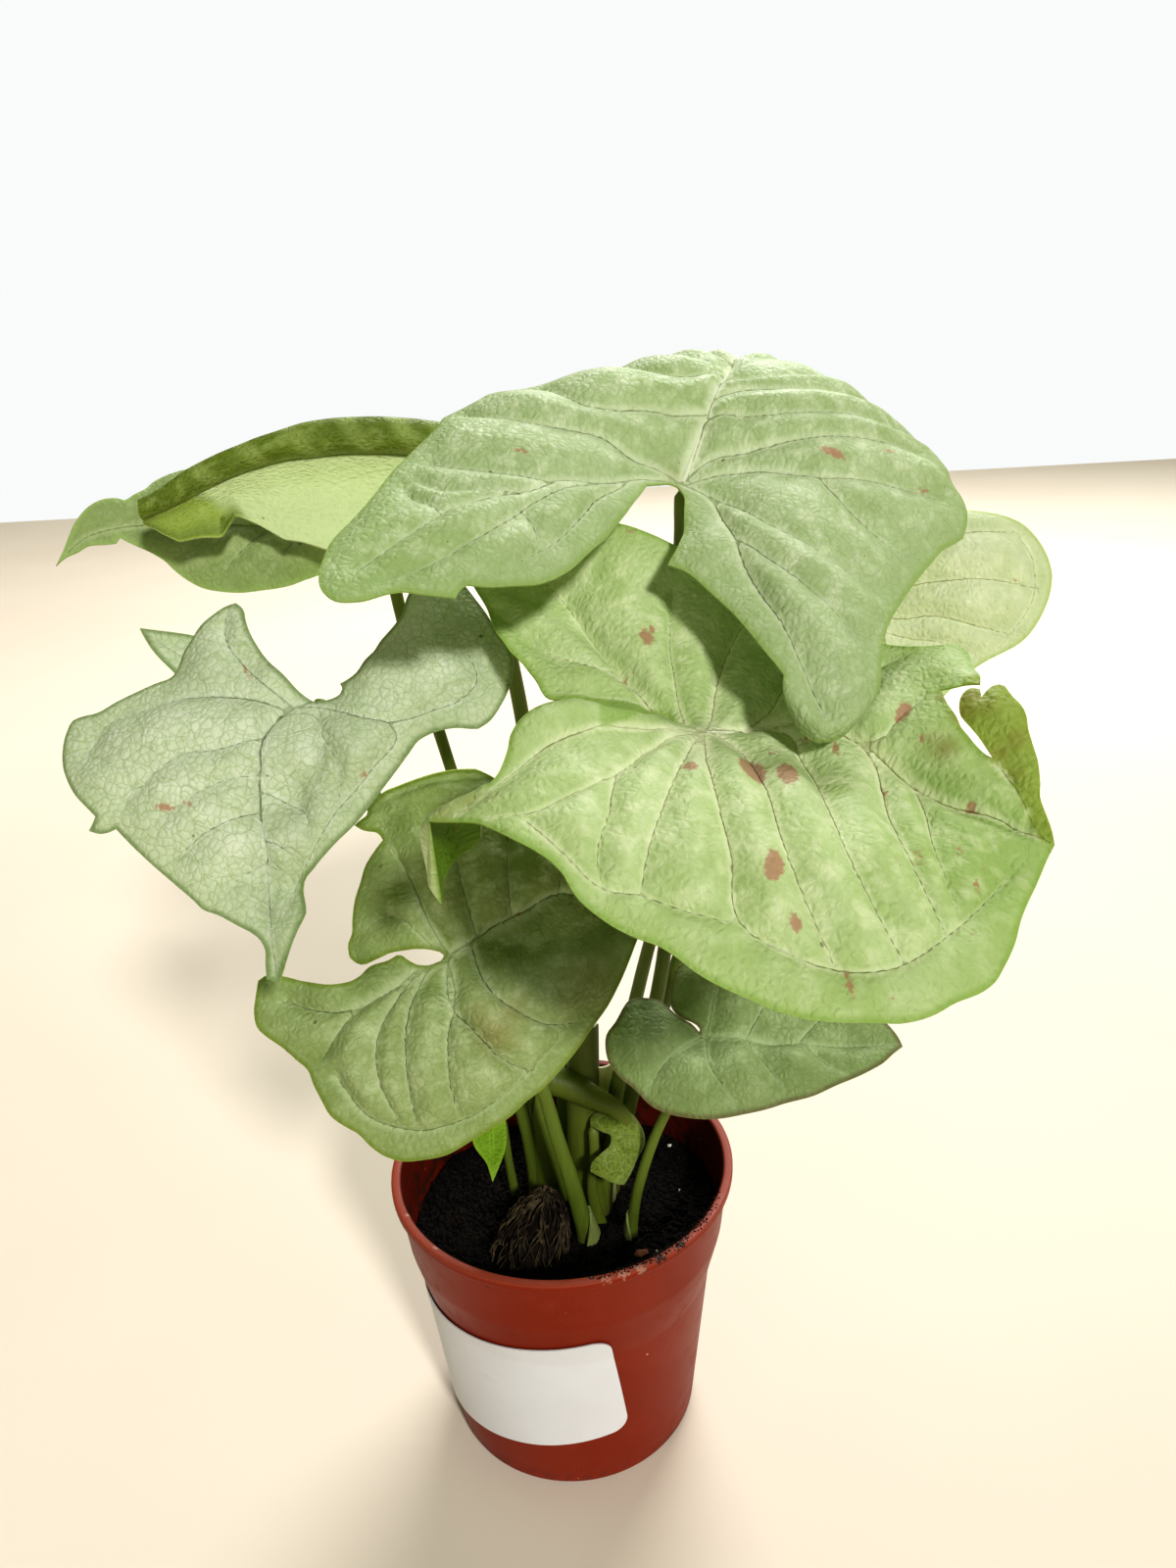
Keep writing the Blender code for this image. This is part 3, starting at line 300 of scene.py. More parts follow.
        (17.5, -18), (21.2, -18.3), (24.6, -18.3), (27.2, -16.9), (30.6, -16.6), (33.1, -15.8), (35.2, -14.4),
        (36.9, -12), (38.9, -10.7), (40.4, -9.7), (41.3, -10.2), (43.4, -10.2), (45.3, -9.3), (47.1, -8),
        (48.7, -6.5), (50.2, -4.4), (51.4, -2.6), (53, -0.6, 1), (51.1, -1.6), (49.1, -2), (47.4, -2.6), (45.1, -2.6),
        (43.2, -2.7, 1), (42.4, -3.5, 1), (40.7, -2.2), (38.6, -0.8), (36.7, 0.9), (35.2, 3.3), (33.6, 5.3),
        (31.7, 7.1), (29.1, 8.6), (26.1, 9.8), (23, 10.4), (19.8, 10.7), (16.4, 10.6), (12.7, 10.2),
    ],
    "blade_new": [
        (0.5, -0.6), (2.4, 0.7), (3.5, 1.8), (5, 1.2), (5.9, -1.2), (6.6, -3), (8.2, -4, 1), (10.6, -2.1),
        (12.2, -0.7), (13.1, 0.8, 1), (11.4, 3.2), (9.4, 5.3), (7.6, 7.6), (5.1, 8.4), (1.8, 7.9), (-0.7, 5.3),
        (-1.3, 2.3), (-1, 0.4),
    ],
}

# The rolled blade: each station has its place on the roll's top line, the roll's radius, how far the blade
# hangs below the roll, and how far its hem swings to the front.
ROLLED_STATIONS = [
    ((-7.0, 4.0, 206.0), 2.3, 15, 3),
    ((-16.0, 2.5, 207.5), 2.6, 17, 4),
    ((-25.5, 0.5, 208.5), 2.6, 18, 6),
    ((-35.0, -1.5, 208.0), 2.4, 16, 6),
    ((-44.0, -3.0, 205.5), 2.1, 13, 4),
    ((-51.0, -4.5, 202.5), 1.8, 8, 2),
    ((-55.5, -6.0, 200.0), 1.6, 5, 1),
    ((-59.0, -7.5, 198.5), 1.4, 2, 0),
]
# Where the hanging part of the roll is torn short: share of the leaf's length and share of the full drop
HEM = [(0.0, 0.4), (0.05, 0.75), (0.12, 0.95), (0.2, 0.95), (0.36, 0.88), (0.43, 0.83), (0.475, 0.81), (0.573, 0.6),
       (0.6, 0.56), (0.645, 0.82), (0.81, 0.95), (0.9, 0.8), (1.0, 0.5)]
# Place along the roll where a narrow band of its hem takes the upper side's darker colour instead of the underside's,
# standing for the hem folded back there and for painted shade in that fold; the mesh itself is not folded
SHADED_FOLD_PLACE = 0.622
ROLL_START = math.radians(-140)
ROLL_END = math.radians(171)
# Places along the roll where a side vein crosses it
STREAKS = (0.06, 0.15, 0.27, 0.4, 0.52, 0.66)

STEMS = [
    Stem("stem_top", 1.9, 1.1, [
        (9, 3, 46), (14, -1, 73), (20.5, -3.5, 101.5), (24, -8, 140), (24.5, -11, 175), (25, -16.3, 196.7)]),
    Stem("stem_right", 1.8, 1.1, [
        (7, -4, 46), (11.5, -3.5, 78), (16.5, -12, 109.5), (20.5, -21, 133), (23, -35, 154.5),
        (23, -47.4, 167.5)]),
    Stem("stem_upper_left", 2.3, 1.1, [
        (-1, 2, 46), (-6, 1, 90), (-12, 4, 128), (-17, 4.5, 153), (-21.5, 5.5, 173),
        (-24.1, 9.8, 192.2)]),
    Stem("stem_rolled", 2.0, 1.4, [
        (1, 7, 46), (1.5, 6.5, 80.5), (-0.5, 9.5, 120), (-2, 10, 153), (-4, 8, 171), (-5.5, 4, 204)]),
    Stem("stem_left", 1.6, 1.0, [
        (-5.5, 3.5, 46), (-7.5, -2.5, 76), (-17.5, -8, 114.5), (-27.5, -9.5, 147), (-31, -15, 159),
        (-32.8, -22.8, 168.5)]),
    Stem("stem_low", 1.9, 1.1, [
        (4.2, -9.7, 46), (2, -12.5, 63), (-0.5, -12.5, 75), (-3, -13.5, 88.5), (-11, -22, 110.5),
        (-16.6, -29.2, 126.4)]),
    Stem("stem_low_right", 1.2, 0.9, [
        (13, -10, 46), (14.5, -14.5, 64.5), (18, -14.5, 76), (21.5, -17, 86.5), (26.1, -24.7, 103.3)]),
    Stem("stem_back_right", 1.7, 1.0, [
        (5, 11, 46), (19, 9, 77.5), (28.5, 13.5, 104.5), (43.5, 18.5, 138), (57.5, 20.5, 166.5),
        (63.9, 19, 181.5)]),
    Stem("stem_left_small", 1.2, 0.8, [
        (-5, 9, 46), (-8.5, 6.5, 76.5), (-21.5, 1.5, 119), (-30, -4.5, 144), (-40, -9, 159),
        (-50.6, -9.3, 167.6)]),
    Stem("stem_new", 1.6, 1.0, [(7.7, -6.6, 46), (5.6, -8.2, 61), (6.4, -8.4, 68), (6.4, -6.4, 73.5)]),
    Stem("stem_bud", 1.1, 0.7, [
        (-10, 4, 46), (-11, 1, 60), (-11.5, -2, 74), (-12.5, -6.5, 81), (-13, -9.7, 83.8)]),
]

# Veins in each blade's plan, as (forward, left): a width at the start and the places that the vein runs through.
MIDRIB = 0.75
MAIN = 0.5
SIDE = 0.36
FINE = 0.24

VEINS = {
    "blade_top": [
        Vein(MIDRIB, [(0, 0), (12, -0.5), (32, -0.5), (58, 0), (81, -0.5)]),
        Vein(MAIN, [(10.5, 0), (8.5, 4), (7, 8.5), (4, 13), (3, 17.5), (5, 22), (9, 27)]),
        Vein(SIDE, [(22, 0), (16.5, 4), (15.5, 8), (17.5, 13.5), (22, 19)]),
        Vein(MAIN, [(0, 0), (-0.5, 4.5), (-1.5, 8.5), (-1.5, 13.5), (-2.5, 19), (-3, 24.5), (-2, 31), (0, 36)]),
        Vein(MAIN, [(0, 0), (-1, 1.5), (-4, 5), (-8, 9), (-11, 13.5), (-14, 18), (-14.5, 23), (-14.5, 29),
                    (-13.5, 36)]),
        Vein(MAIN, [(-14, 17), (-17.5, 19.5), (-20.5, 23.5), (-24, 27.5), (-29.5, 31), (-34, 33.5), (-38, 35.5)]),
        Vein(SIDE, [(-10, 11), (-12.5, 13.5), (-19, 17.5), (-25, 20), (-31, 23.5), (-36, 27.5), (-39, 30)]),
        Vein(SIDE, [(-6, 7), (-8, 7.5), (-13.5, 10), (-18.5, 11), (-23.5, 12.5), (-29, 16)]),
        Vein(FINE, [(-26.5, 29), (-24, 31.5), (-22, 35), (-18, 38)]),
        Vein(FINE, [(-18, 20), (-19.5, 26), (-20, 31), (-17, 37)]),
        Vein(FINE, [(-22, 19), (-24, 16), (-28, 14)]),
        Vein(MAIN, [(0.5, 0), (2.5, -1), (4.5, -3), (6, -8), (8, -13.5), (11.5, -20), (15.5, -26.5), (21, -34)]),
        Vein(SIDE, [(9, -0.5), (10.5, -2), (11, -6.5), (12.5, -12.5), (16, -19), (22, -27), (30, -33)]),
        Vein(MAIN, [(13, -0.5), (15.5, -3.5), (17.5, -9.5), (21, -15.5), (27, -22), (35, -28)]),
        Vein(SIDE, [(18, -0.5), (19.5, -4.5), (22.5, -8.5), (29, -15), (39, -22)]),
        Vein(MAIN, [(0, 0), (2, -4), (3, -9), (3.5, -15), (4, -19.5), (6, -24.5), (9, -31), (13, -38)]),
        Vein(SIDE, [(4, -19.5), (2, -22.5), (0.5, -25.5), (-1, -30), (-1, -35)]),
        Vein(MAIN, [(0, 0), (-2.5, -4.5), (-8.5, -8), (-14.5, -11.5), (-20, -15.5), (-26.5, -21), (-32.5, -26),
                    (-35, -28.5)]),
        Vein(SIDE, [(-2, -4.5), (-4.5, -8.5), (-8, -13), (-10, -19), (-11, -25), (-11, -31)]),
        Vein(SIDE, [(-12, -10), (-14.5, -15), (-18, -21), (-21, -27), (-24, -31)]),
        Vein(MAIN, [(32, 0), (36, 6), (42, 11), (50, 14)]),
        Vein(MAIN, [(34, 0), (38, -7), (46, -13), (54, -16)]),
        Vein(SIDE, [(48, 0), (54, 4), (62, 6)]),
        Vein(SIDE, [(49, 0), (56, -5), (64, -8)]),
        Vein(SIDE, [(24, 0), (27, 9), (33, 16), (40, 19)]),
    ],
    "blade_right": [
        Vein(MIDRIB, [(0, 0), (4, 4.5), (9, 8.5), (18, 8), (22, 6.5), (28.5, 3.5), (33, 2), (39.5, 1.5), (46, 0)]),
        Vein(MAIN, [(0, 0), (1.5, -3), (8, -14.5), (14, -23.5), (18.5, -30.5), (22.5, -31), (26.5, -30.5)]),
        Vein(MAIN, [(1, 0.5), (4.5, -0.5), (13, -10), (20, -20.5), (26, -26.5), (29, -29)]),
        Vein(MAIN, [(6, 6), (9, 6), (13.5, 2), (20.5, -8), (27, -17), (32, -21.5), (36, -24.5)]),
        Vein(MAIN, [(19, 7.5), (22, 5), (28, -5), (33.5, -12.5), (38.5, -18)]),
        Vein(SIDE, [(28, 3.5), (31, -1), (34, -7), (39, -14.5)]),
        Vein(MAIN, [(0, 0), (0.5, -4), (2, -11), (4, -20.5), (5.5, -28), (7, -33)]),
        Vein(MAIN, [(0, 0), (-1, -2), (-3, -7.5), (-4, -18), (-6.5, -24.5), (-9.5, -29.5), (-14, -32)]),
        Vein(SIDE, [(-4, -17), (-3, -20), (-1, -25), (0.5, -31), (3, -34.5)]),
        Vein(MAIN, [(0, 0), (-3, -2.5), (-7.5, -8), (-11.5, -13), (-14.5, -19.5), (-16, -26), (-19, -33)]),
        Vein(SIDE, [(-9, -31), (-3, -33), (3, -34.5), (7, -33), (11, -32.5), (18.5, -30.5)]),
        Vein(SIDE, [(22, -31), (26.5, -30.5), (31, -29), (35.5, -25.5), (39, -19), (41.5, -12), (43, -6.5)]),
        Vein(SIDE, [(18, 8), (22, 8.5), (23, 12), (25, 17)]),
        Vein(SIDE, [(36.5, 8.2), (38.4, 6.8), (40.4, 5.3), (43, 2.4), (45, 0.5)]),
        Vein(MAIN, [(0, 0), (-6, 2), (-13.5, 5.5), (-18, 8), (-23.5, 11), (-30, 14.5), (-37, 17)]),
        Vein(SIDE, [(-13, 5.5), (-18, 5.5), (-24, 5), (-30, 5.5)]),
        Vein(SIDE, [(-4, 2), (-10.5, 2.5), (-17, 0.5), (-22.5, -1.5)]),
        Vein(MAIN, [(0, 0), (-0.5, 3), (-3, 12), (-4, 21), (-3, 29)]),
        Vein(MAIN, [(3, 3), (5.5, 10), (5.5, 18), (8, 26)]),
        Vein(SIDE, [(-1, 0), (-4.5, 3), (-8, 8), (-12, 14.5), (-15, 22)]),
        Vein(SIDE, [(9, 8.5), (13, 14), (15, 22), (19, 26)]),
    ],
    "blade_upper_left": [
        Vein(MIDRIB, [(0, 0), (12, 0), (26, -2), (42.5, -5), (47.5, -4), (53, -0.5)]),
        Vein(SIDE, [(9, -0.5), (14, 3.5), (18, 7), (22, 9)]),
        Vein(SIDE, [(18, -1), (23, 3), (28, 6)]),
        Vein(SIDE, [(8, 0), (11, -6), (15, -11), (18, -15)]),
        Vein(SIDE, [(19, -1.5), (23, -7), (27, -12)]),
        Vein(FINE, [(31, -3), (35, -7), (38, -9)]),
        Vein(SIDE, [(0, 0), (2, -4), (4, -9)]),
    ],
    "blade_left": [
        Vein(MIDRIB, [(0, 0), (1.5, -3), (7, -6), (13, -5.5), (19.5, -4.5), (26.5, -3), (33, -2), (37, -1), (43, 0)]),
        Vein(SIDE, [(7, -6), (10, -11.5), (11.5, -17.5), (14.5, -21), (19, -25)]),
        Vein(SIDE, [(18.5, -4.5), (20.5, -8.5), (24, -13.5), (26.5, -16)]),
        Vein(MAIN, [(2, -4), (1, -12), (1.5, -19), (4, -26), (7, -31.5), (11.5, -33)]),
        Vein(MAIN, [(1.5, -3), (-1.5, -8), (-5.5, -12.5), (-10.5, -16.5), (-15, -17)]),
        Vein(FINE, [(13.5, -5.5), (14.5, -9.5), (17, -14), (20.5, -18)]),
        Vein(FINE, [(26.5, -3), (28, -5.5), (30.5, -8.5)]),
        Vein(SIDE, [(15.5, -5), (16.5, -2), (19, 2), (21.5, 2.5)]),
        Vein(SIDE, [(23, -3.5), (24, -1), (25.5, 1.5)]),
        Vein(SIDE, [(3, -4.5), (3.5, 1), (6.5, 2.5), (10.5, 3)]),
        Vein(MAIN, [(1.5, -2), (1.5, 0.5), (3, 7.5), (3.5, 13), (1, 18.5), (-1, 22), (-4.5, 24.5), (-8.5, 23)]),
        Vein(SIDE, [(3.5, 12), (5, 13.5), (11.5, 10.5), (18.5, 6), (25, 3), (29.5, 1), (36, 0)]),
        Vein(FINE, [(6.5, 2.5), (12.5, 6), (18.5, 6)]),
    ],
    "blade_low": [
        Vein(MIDRIB, [(0, 0), (6, 2.5), (12.5, 5), (20.5, 8), (27, 4.5), (31, 0.5)]),
        Vein(MAIN, [(4, 1.5), (6, -6), (10, -10), (15, -13), (20, -13)]),
        Vein(MAIN, [(0.5, 0), (-0.5, -8), (3, -13.5), (7, -18), (12, -20)]),
        Vein(MAIN, [(-1, -0.5), (-3, -2), (-5.5, -5.5), (-7.5, -11), (-8, -18.5), (-7, -25.5)]),
        Vein(MAIN, [(0, -1), (0.5, -4.5), (-1.5, -13.5), (-1.5, -21), (-0.5, -25)]),
        Vein(MAIN, [(-2, -1), (-5, -2.5), (-9.5, -7), (-12, -11.5), (-12.5, -18), (-10, -24.5)]),
        Vein(MAIN, [(-3, -1), (-7.5, -3), (-13.5, -6), (-18.5, -7), (-26, -4)]),
        Vein(SIDE, [(-12, -5), (-17, -9), (-20.5, -13.5)]),
        Vein(SIDE, [(-19, -17), (-14, -24), (-7, -27), (1, -26), (10, -21), (18, -14)]),
        Vein(MAIN, [(0, 0.5), (-5.5, 11), (-8.5, 22)]),
        Vein(SIDE, [(-1.5, 1), (-5.5, 5), (-10, 8)]),
        Vein(SIDE, [(5, 2), (3, 12), (2, 22)]),
        Vein(SIDE, [(11, 4.5), (11, 13), (12, 20)]),
        Vein(SIDE, [(19, 7.5), (20, 12), (20, 17)]),
    ],
    "blade_low_right": [
        Vein(MAIN, [(0, 0), (11, 0), (20.5, 0), (34, 0.5)]),
        Vein(SIDE, [(0.5, -0.5), (2, -8), (6, -12.5)]),
        Vein(SIDE, [(8, -0.5), (11, -6), (14, -10)]),
        Vein(SIDE, [(-0.5, 0), (-5.5, -6), (-8, -9.5), (-9.5, -12)]),
        Vein(SIDE, [(0.5, 0.5), (2, 7.5), (4.5, 14)]),
        Vein(SIDE, [(7.5, 0), (10, 5), (13, 11)]),
        Vein(SIDE, [(-0.5, 1), (-5, 3), (-10.5, 3), (-14.5, 0)]),
        Vein(SIDE, [(17, 0), (21, -4), (24, -6)]),
        Vein(SIDE, [(16, 0), (20, 4.5), (24, 8)]),
    ],
    "blade_back_right": [
        Vein(MIDRIB, [(0, 0), (15, -1), (38, 0)]),
        Vein(MAIN, [(1, 0), (3.5, 4), (4, 10.5), (4, 19.5), (5.5, 28)]),
        Vein(MAIN, [(6, -0.5), (11, 1.5), (12, 8.5), (13.5, 19), (16, 28.5)]),
        Vein(MAIN, [(13, -1), (16, 0.5), (18, 7.5), (21.5, 16), (24, 23)]),
        Vein(SIDE, [(19, -0.5), (20.5, 2), (23, 8.5), (26.5, 15)]),
        Vein(SIDE, [(10, -1), (14, -7), (20, -12)]),
        Vein(SIDE, [(0, 0), (2, -7), (6, -14)]),
        Vein(SIDE, [(4.5, 26), (10, 28.5), (17, 27.5), (24, 21), (30, 11)]),
    ],
    "blade_left_small": [
        Vein(SIDE, [(0, 0), (7, 0), (15.5, 0)]),
        Vein(FINE, [(3, 0), (7, 2.5)]),
        Vein(FINE, [(2, 0), (6, -3)]),
    ],
    "blade_new": [
        Vein(SIDE, [(0, 0), (5, 1.5), (9, 2), (13, 0)]),
        Vein(FINE, [(4, 1.5), (7, -1.5)]),
        Vein(FINE, [(4, 1.5), (5, 5), (6.5, 7)]),
        Vein(FINE, [(7, 2), (9.5, 4.5)]),
    ],
    "blade_bud": [
        Vein(SIDE, [(0, 0), (8, 0), (17, 0)]),
    ],
}

# Brown flecks in a blade's plan: x, y, length, width and turn in degrees
FLECKS = {
    "blade_top": [
        (8, -20.5, 4.4, 1.5, 95), (14, -29, 2.4, 0.9, 130), (12, -35.5, 2.2, 0.8, 140), (-0.5, -27, 1.0, 0.8, 0),
        (-10.5, 23, 2.6, 0.8, 95), (-20, 27, 1.2, 0.5, 100), (6, 10.5, 0.8, 0.6, 0), (-21, -24, 0.6, 0.5, 0),
    ],
    "blade_right": [
        (23.2, 13, 4.4, 2.1, -90), (14.2, -6.2, 6.3, 2.5, -64), (18.9, -22.9, 4.4, 2.4, -76),
        (23.6, -27.7, 2.2, 1.5, -34), (31.4, -30.4, 3, 0.9, -57), (35.9, 2, 1.7, 1.3, -7), (27.2, 9.1, 1, 0.8, 13),
        (39.9, -10.6, 1.8, 0.8, -61), (36.9, -6.9, 2.1, 0.7, -62), (9.8, -6.9, 8.3, 3.8, -64),
        (10.2, -1.1, 0.8, 1.6, 44), (25.3, 0.7, 2.6, 0.7, -63), (17, 4.6, 3.7, 0.9, -55), (12.9, 4.8, 1.6, 0.4, -20),
        (12.9, 4.8, 1.7, 0.4, -103), (32.8, -10.1, 2.5, 0.6, -66), (39.8, -8, 0.8, 0.5, -22),
        (44.9, -15.8, 0.9, 0.5, -53), (41.4, -16.8, 0.7, 0.5, 0), (23.1, -35.1, 0.8, 0.6, -32),
        (3.4, -11.7, 3.4, 1.7, -49), (-14.9, 12.7, 3.1, 1.9, -47), (-15, 14.5, 1.3, 1.2, 26),
        (-15.1, 6.8, 2.4, 0.5, 63), (-15.1, 6.8, 1.5, 0.3, -39), (-24.6, 26.8, 1.2, 0.9, 24),
        (30.6, -13.6, 0.8, 0.5, -55), (6.7, 35.5, 0.7, 0.6, 25), (14.7, -24.7, 0.6, 0.4, 28),
        (8.2, -31.5, 0.5, 0.3, -13), (35.5, -29.5, 0.9, 0.3, 32), (22.3, -30.5, 0.6, 0.4, -33),
    ],
    "blade_left": [
        (-3.5, -11, 3.6, 0.8, 35), (-5.5, -9.5, 0.9, 0.7, 0), (19.5, -18.5, 3.4, 1.1, 85), (19, -15, 1.8, 0.9, 60),
        (12, 9.5, 1.3, 0.9, 20),
    ],
    "blade_low": [(12.5, 5, 1.2, 0.7, 0), (-6.5, -4, 0.8, 0.6, 0), (-21, 3, 1.2, 0.7, 0)],
    "blade_low_right": [(-9, -2, 0.8, 0.7, 0), (-5, -8.5, 0.7, 0.5, 0)],
    "blade_back_right": [(14, 24, 0.9, 0.7, 0), (19, 21, 0.8, 0.6, 0)],
}

# Sharp folds of a blade's plan: depth, reach and the places that the fold runs through
CREASES = {
    "blade_right": [
        Crease(0.9, 1.3, [(-36.7, 12.5), (-26, 10.7), (-16.1, 7.1), (-8.7, 3.2), (-3.4, 1.7)]),
        Crease(0.8, 1.2, [(-37.1, 8.1), (-28.1, 4.1), (-20, 2.5), (-14.2, 3.3), (-7.1, 3.1)]),
        Crease(0.7, 1.2, [(-32.1, 2.5), (-22.8, 0.3), (-15.4, 1.2), (-9.8, 2.4)]),
        Crease(0.7, 1.5, [(-31.2, 17.5), (-26.2, 12.6), (-19.2, 8.5), (-14, 6.1)]),
        Crease(0.9, 1.3, [(17.8, 7.8), (24.1, 5.1), (29, 3.2), (34.1, 1.2), (38.5, 0.5), (42.7, 0.9)]),
    ],
    "blade_top": [
        Crease(0.5, 1.2, [(31.2, -0.3), (17, -0.5), (12.5, -0.1), (9.4, 0), (6.2, -0.2), (3, -0.4), (0.6, -0.4)]),
    ],
    "blade_low": [
        Crease(0.8, 1.2, [(0.4, 0.4), (-2.1, 5.5), (-3.8, 8.6), (-5.5, 12.8), (-7.1, 16.2)]),
        Crease(0.9, 1.2, [(1, -10.1), (3.7, -13.4), (7.9, -17.2), (12.1, -14.2)]),
    ],
    "blade_left": [Crease(0.5, 1.2, [(0, 0), (1.5, -3), (7, -6), (13, -5.5), (19.5, -4.5), (26.5, -3), (43, 0)])],
}

# Brown stains in a blade's plan: x, y, reach and strength
STAINS = {
    "blade_right": [
        (-18.5, -29.5, 1.6, 0.5), (-15.5, -28.5, 1.3, 0.4), (-20.5, -31.5, 1.6, 0.5), (30.5, 8.4, 1.6, 0.8),
        (28.6, 9.0, 1.4, 0.5), (31.0, 15.9, 1.6, 0.9), (30.9, 13.6, 1.6, 0.9), (33.2, 14.6, 1.5, 0.5),
        (38.3, 11.4, 1.3, 0.6), (36.9, 9.2, 1.2, 0.7), (39.4, 7.1, 1.0, 0.5), (33.5, 19.5, 1.2, 0.8),
        (27.4, 15.6, 1.0, 0.8)],
    "blade_low": [(6, -13.5, 3.0, 0.7), (9, -10.5, 2.5, 0.6), (4, -11, 2.5, 0.5), (22, -6, 4.0, 0.4)],
    "blade_top": [(0.5, 2, 2.0, 0.3)],
}

# The torn part of the biggest leaf's edge, as a closed line round it in the leaf's plan. It is painted a darker olive
# as painted shade of a flap bent up against the light; the mesh stays flat there.
SHADED_TORN_FLAP = [(29.9, 12.2), (31.9, 11.1), (33.6, 10.1), (36.4, 8.4), (38.4, 6.9), (40.4, 5.3), (43.0, 2.4), (45.3, -0.6),
        (49.1, 1.8), (47.1, 10.6), (43.0, 16.7), (37.5, 21.4), (32.1, 22.8), (29.4, 19.6), (28.7, 15.9)]

# Greener zones of a blade's plan: x, y, reach and strength. On blade_low, where blade_right shades it, and on
# blade_left's half that faces away from the light, they are partly painted shade.
GREENER_AND_SHADED = {
    "blade_right": [(44, -4, 16, 0.9), (36, 16, 10, 1.0), (30, -34, 8, 0.4), (20, -34, 8, 0.3)],
    "blade_left": [(42, 0, 8, 0.9), (30, 4, 7, 0.7), (16, 12, 7, 0.5), (4, 20, 7, 0.4), (10, 6, 7, 0.3),
                   (22, 4, 7, 0.4), (-8, 26, 7, 0.3)],
    "blade_top": [(-40, 32, 12, 0.9), (-28, 38, 9, 0.6), (40, -24, 9, 0.5), (20, -40, 8, 0.4), (12, 6, 9, 0.4)],
    "blade_low": [(16, 18, 13, 0.9), (26, 6, 7, 0.7), (2, 24, 9, 0.6), (8, 10, 8, 0.5)],
}


# Meshes


def add_piece(name, places, faces, material, nodes=(), slot=None, smooth_angle=50, layers=None, plan=None):
    """A finished piece from places in millimetres. layers are numbers kept for each place, by name."""
    mesh = new_mesh(name, places, faces)
    for layer, values in (layers or {}).items():
        keep_values(mesh, layer, values)
    if plan is not None:
        corner_places = np.empty(len(mesh.loops), np.int32)
        mesh.loops.foreach_get("vertex_index", corner_places)
        mesh.uv_layers.new(name="plan").data.foreach_set("uv", np.asarray(plan, np.float32)[corner_places].ravel())
    dress(mesh, material, smooth_angle)
    finish_piece(linked(name, mesh), nodes, slot)


def linked(name, data):
    """A new object for the data, in the scene."""
    made = bpy.data.objects.new(name, data)
    bpy.context.collection.objects.link(made)
    return made


def new_mesh(name, places, faces):
    """A mesh from places in millimetres."""
    mesh = bpy.data.meshes.new(name)
    mesh.from_pydata(np.asarray(places) * MM, [], faces)
    mesh.update()
    return mesh


def keep_values(mesh, layer, values):
    """Keeps a number for each place of the mesh, by name."""
    mesh.attributes.new(layer, "FLOAT", "POINT").data.foreach_set("value", np.asarray(values, np.float32))


def dress(mesh, material, smooth_angle):
    """One material, and smooth shading up to an angle."""
    mesh.shade_smooth()
    mesh.set_sharp_from_angle(angle=math.radians(smooth_angle))
    mesh.materials.clear()
    mesh.materials.append(material)


def finish_piece(piece, nodes=(), slot=None):
    """Says which body the piece rides and which nodes it stands for. slot is not used."""
    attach(piece, BODY)
    if nodes:
        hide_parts(*nodes)


def plain_mesh(piece, name):
    """Turns what the modifiers make into the piece's own mesh, and removes the modifiers."""
    bpy.context.view_layer.update()
    evaluated = piece.evaluated_get(bpy.context.evaluated_depsgraph_get())
    mesh = bpy.data.meshes.new_from_object(evaluated)
    mesh.name = name
    piece.modifiers.clear()
    piece.data = mesh
    return mesh


def grid_faces(index):
    """Four-sided faces over a grid of place numbers."""
    corners = [index[:-1, :-1], index[:-1, 1:], index[1:, 1:], index[1:, :-1]]
    return np.stack(corners, axis=2).reshape(-1, 4).tolist()


def closed_sheet(columns, rows, flip=False):
    """Faces of a thin closed sheet whose upper grid of places comes first and whose lower grid follows it."""
    count = columns * rows
    index = np.arange(count).reshape(columns, rows)
    upper = grid_faces(index)
    lower = [[a + count, d + count, c + count, b + count] for a, b, c, d in upper]
    rim = np.concatenate([index[0, :], index[1:, -1], index[-1, -2::-1], index[-2:0:-1, 0]]).tolist()
    sides = [[here + count, there + count, there, here] for here, there in zip(rim, rim[1:] + rim[:1])]
    return [[a, d, c, b] if flip else [a, b, c, d] for a, b, c, d in upper + lower + sides]


def thick_net(net, thickness, lift=0.0):
    """Both sides of a grid of places that is given a thickness, the upper side first."""
    normals = np.cross(np.gradient(net, axis=1), np.gradient(net, axis=0))
    normals /= np.maximum(np.linalg.norm(normals, axis=2, keepdims=True), 1e-9)
    sides = [net + normals * (lift + half) for half in (thickness / 2, -thickness / 2)]
    return np.concatenate([side.reshape(-1, 3) for side in sides])


def circle(radius, sides):
    """Evenly spaced x and y on a circle."""
    turns = [2 * math.pi * i / sides for i in range(sides)]
    return [(radius * math.cos(turn), radius * math.sin(turn)) for turn in turns]


def ring_faces(rings, sides, first=0):
    """Faces between rings of places that follow one another."""
    faces = []
    for ring in range(rings - 1):
        a, b = first + ring * sides, first + (ring + 1) * sides
        faces += [(a + i, b + i, b + (i + 1) % sides, a + (i + 1) % sides) for i in range(sides)]
    return faces


def tube_faces(rings, sides):
    """Faces of a closed tube made of rings of places."""
    faces = [(a, d, c, b) for a, b, c, d in ring_faces(rings, sides)]
    return faces + [tuple(range(sides - 1, -1, -1)), tuple(range((rings - 1) * sides, rings * sides))]


def joined(parts):
    """Places and faces of several parts as one."""
    places, faces = [], []
    for part_places, part_faces in parts:
        faces += [tuple(len(places) + i for i in face) for face in part_faces]
        places += part_places
    return places, faces


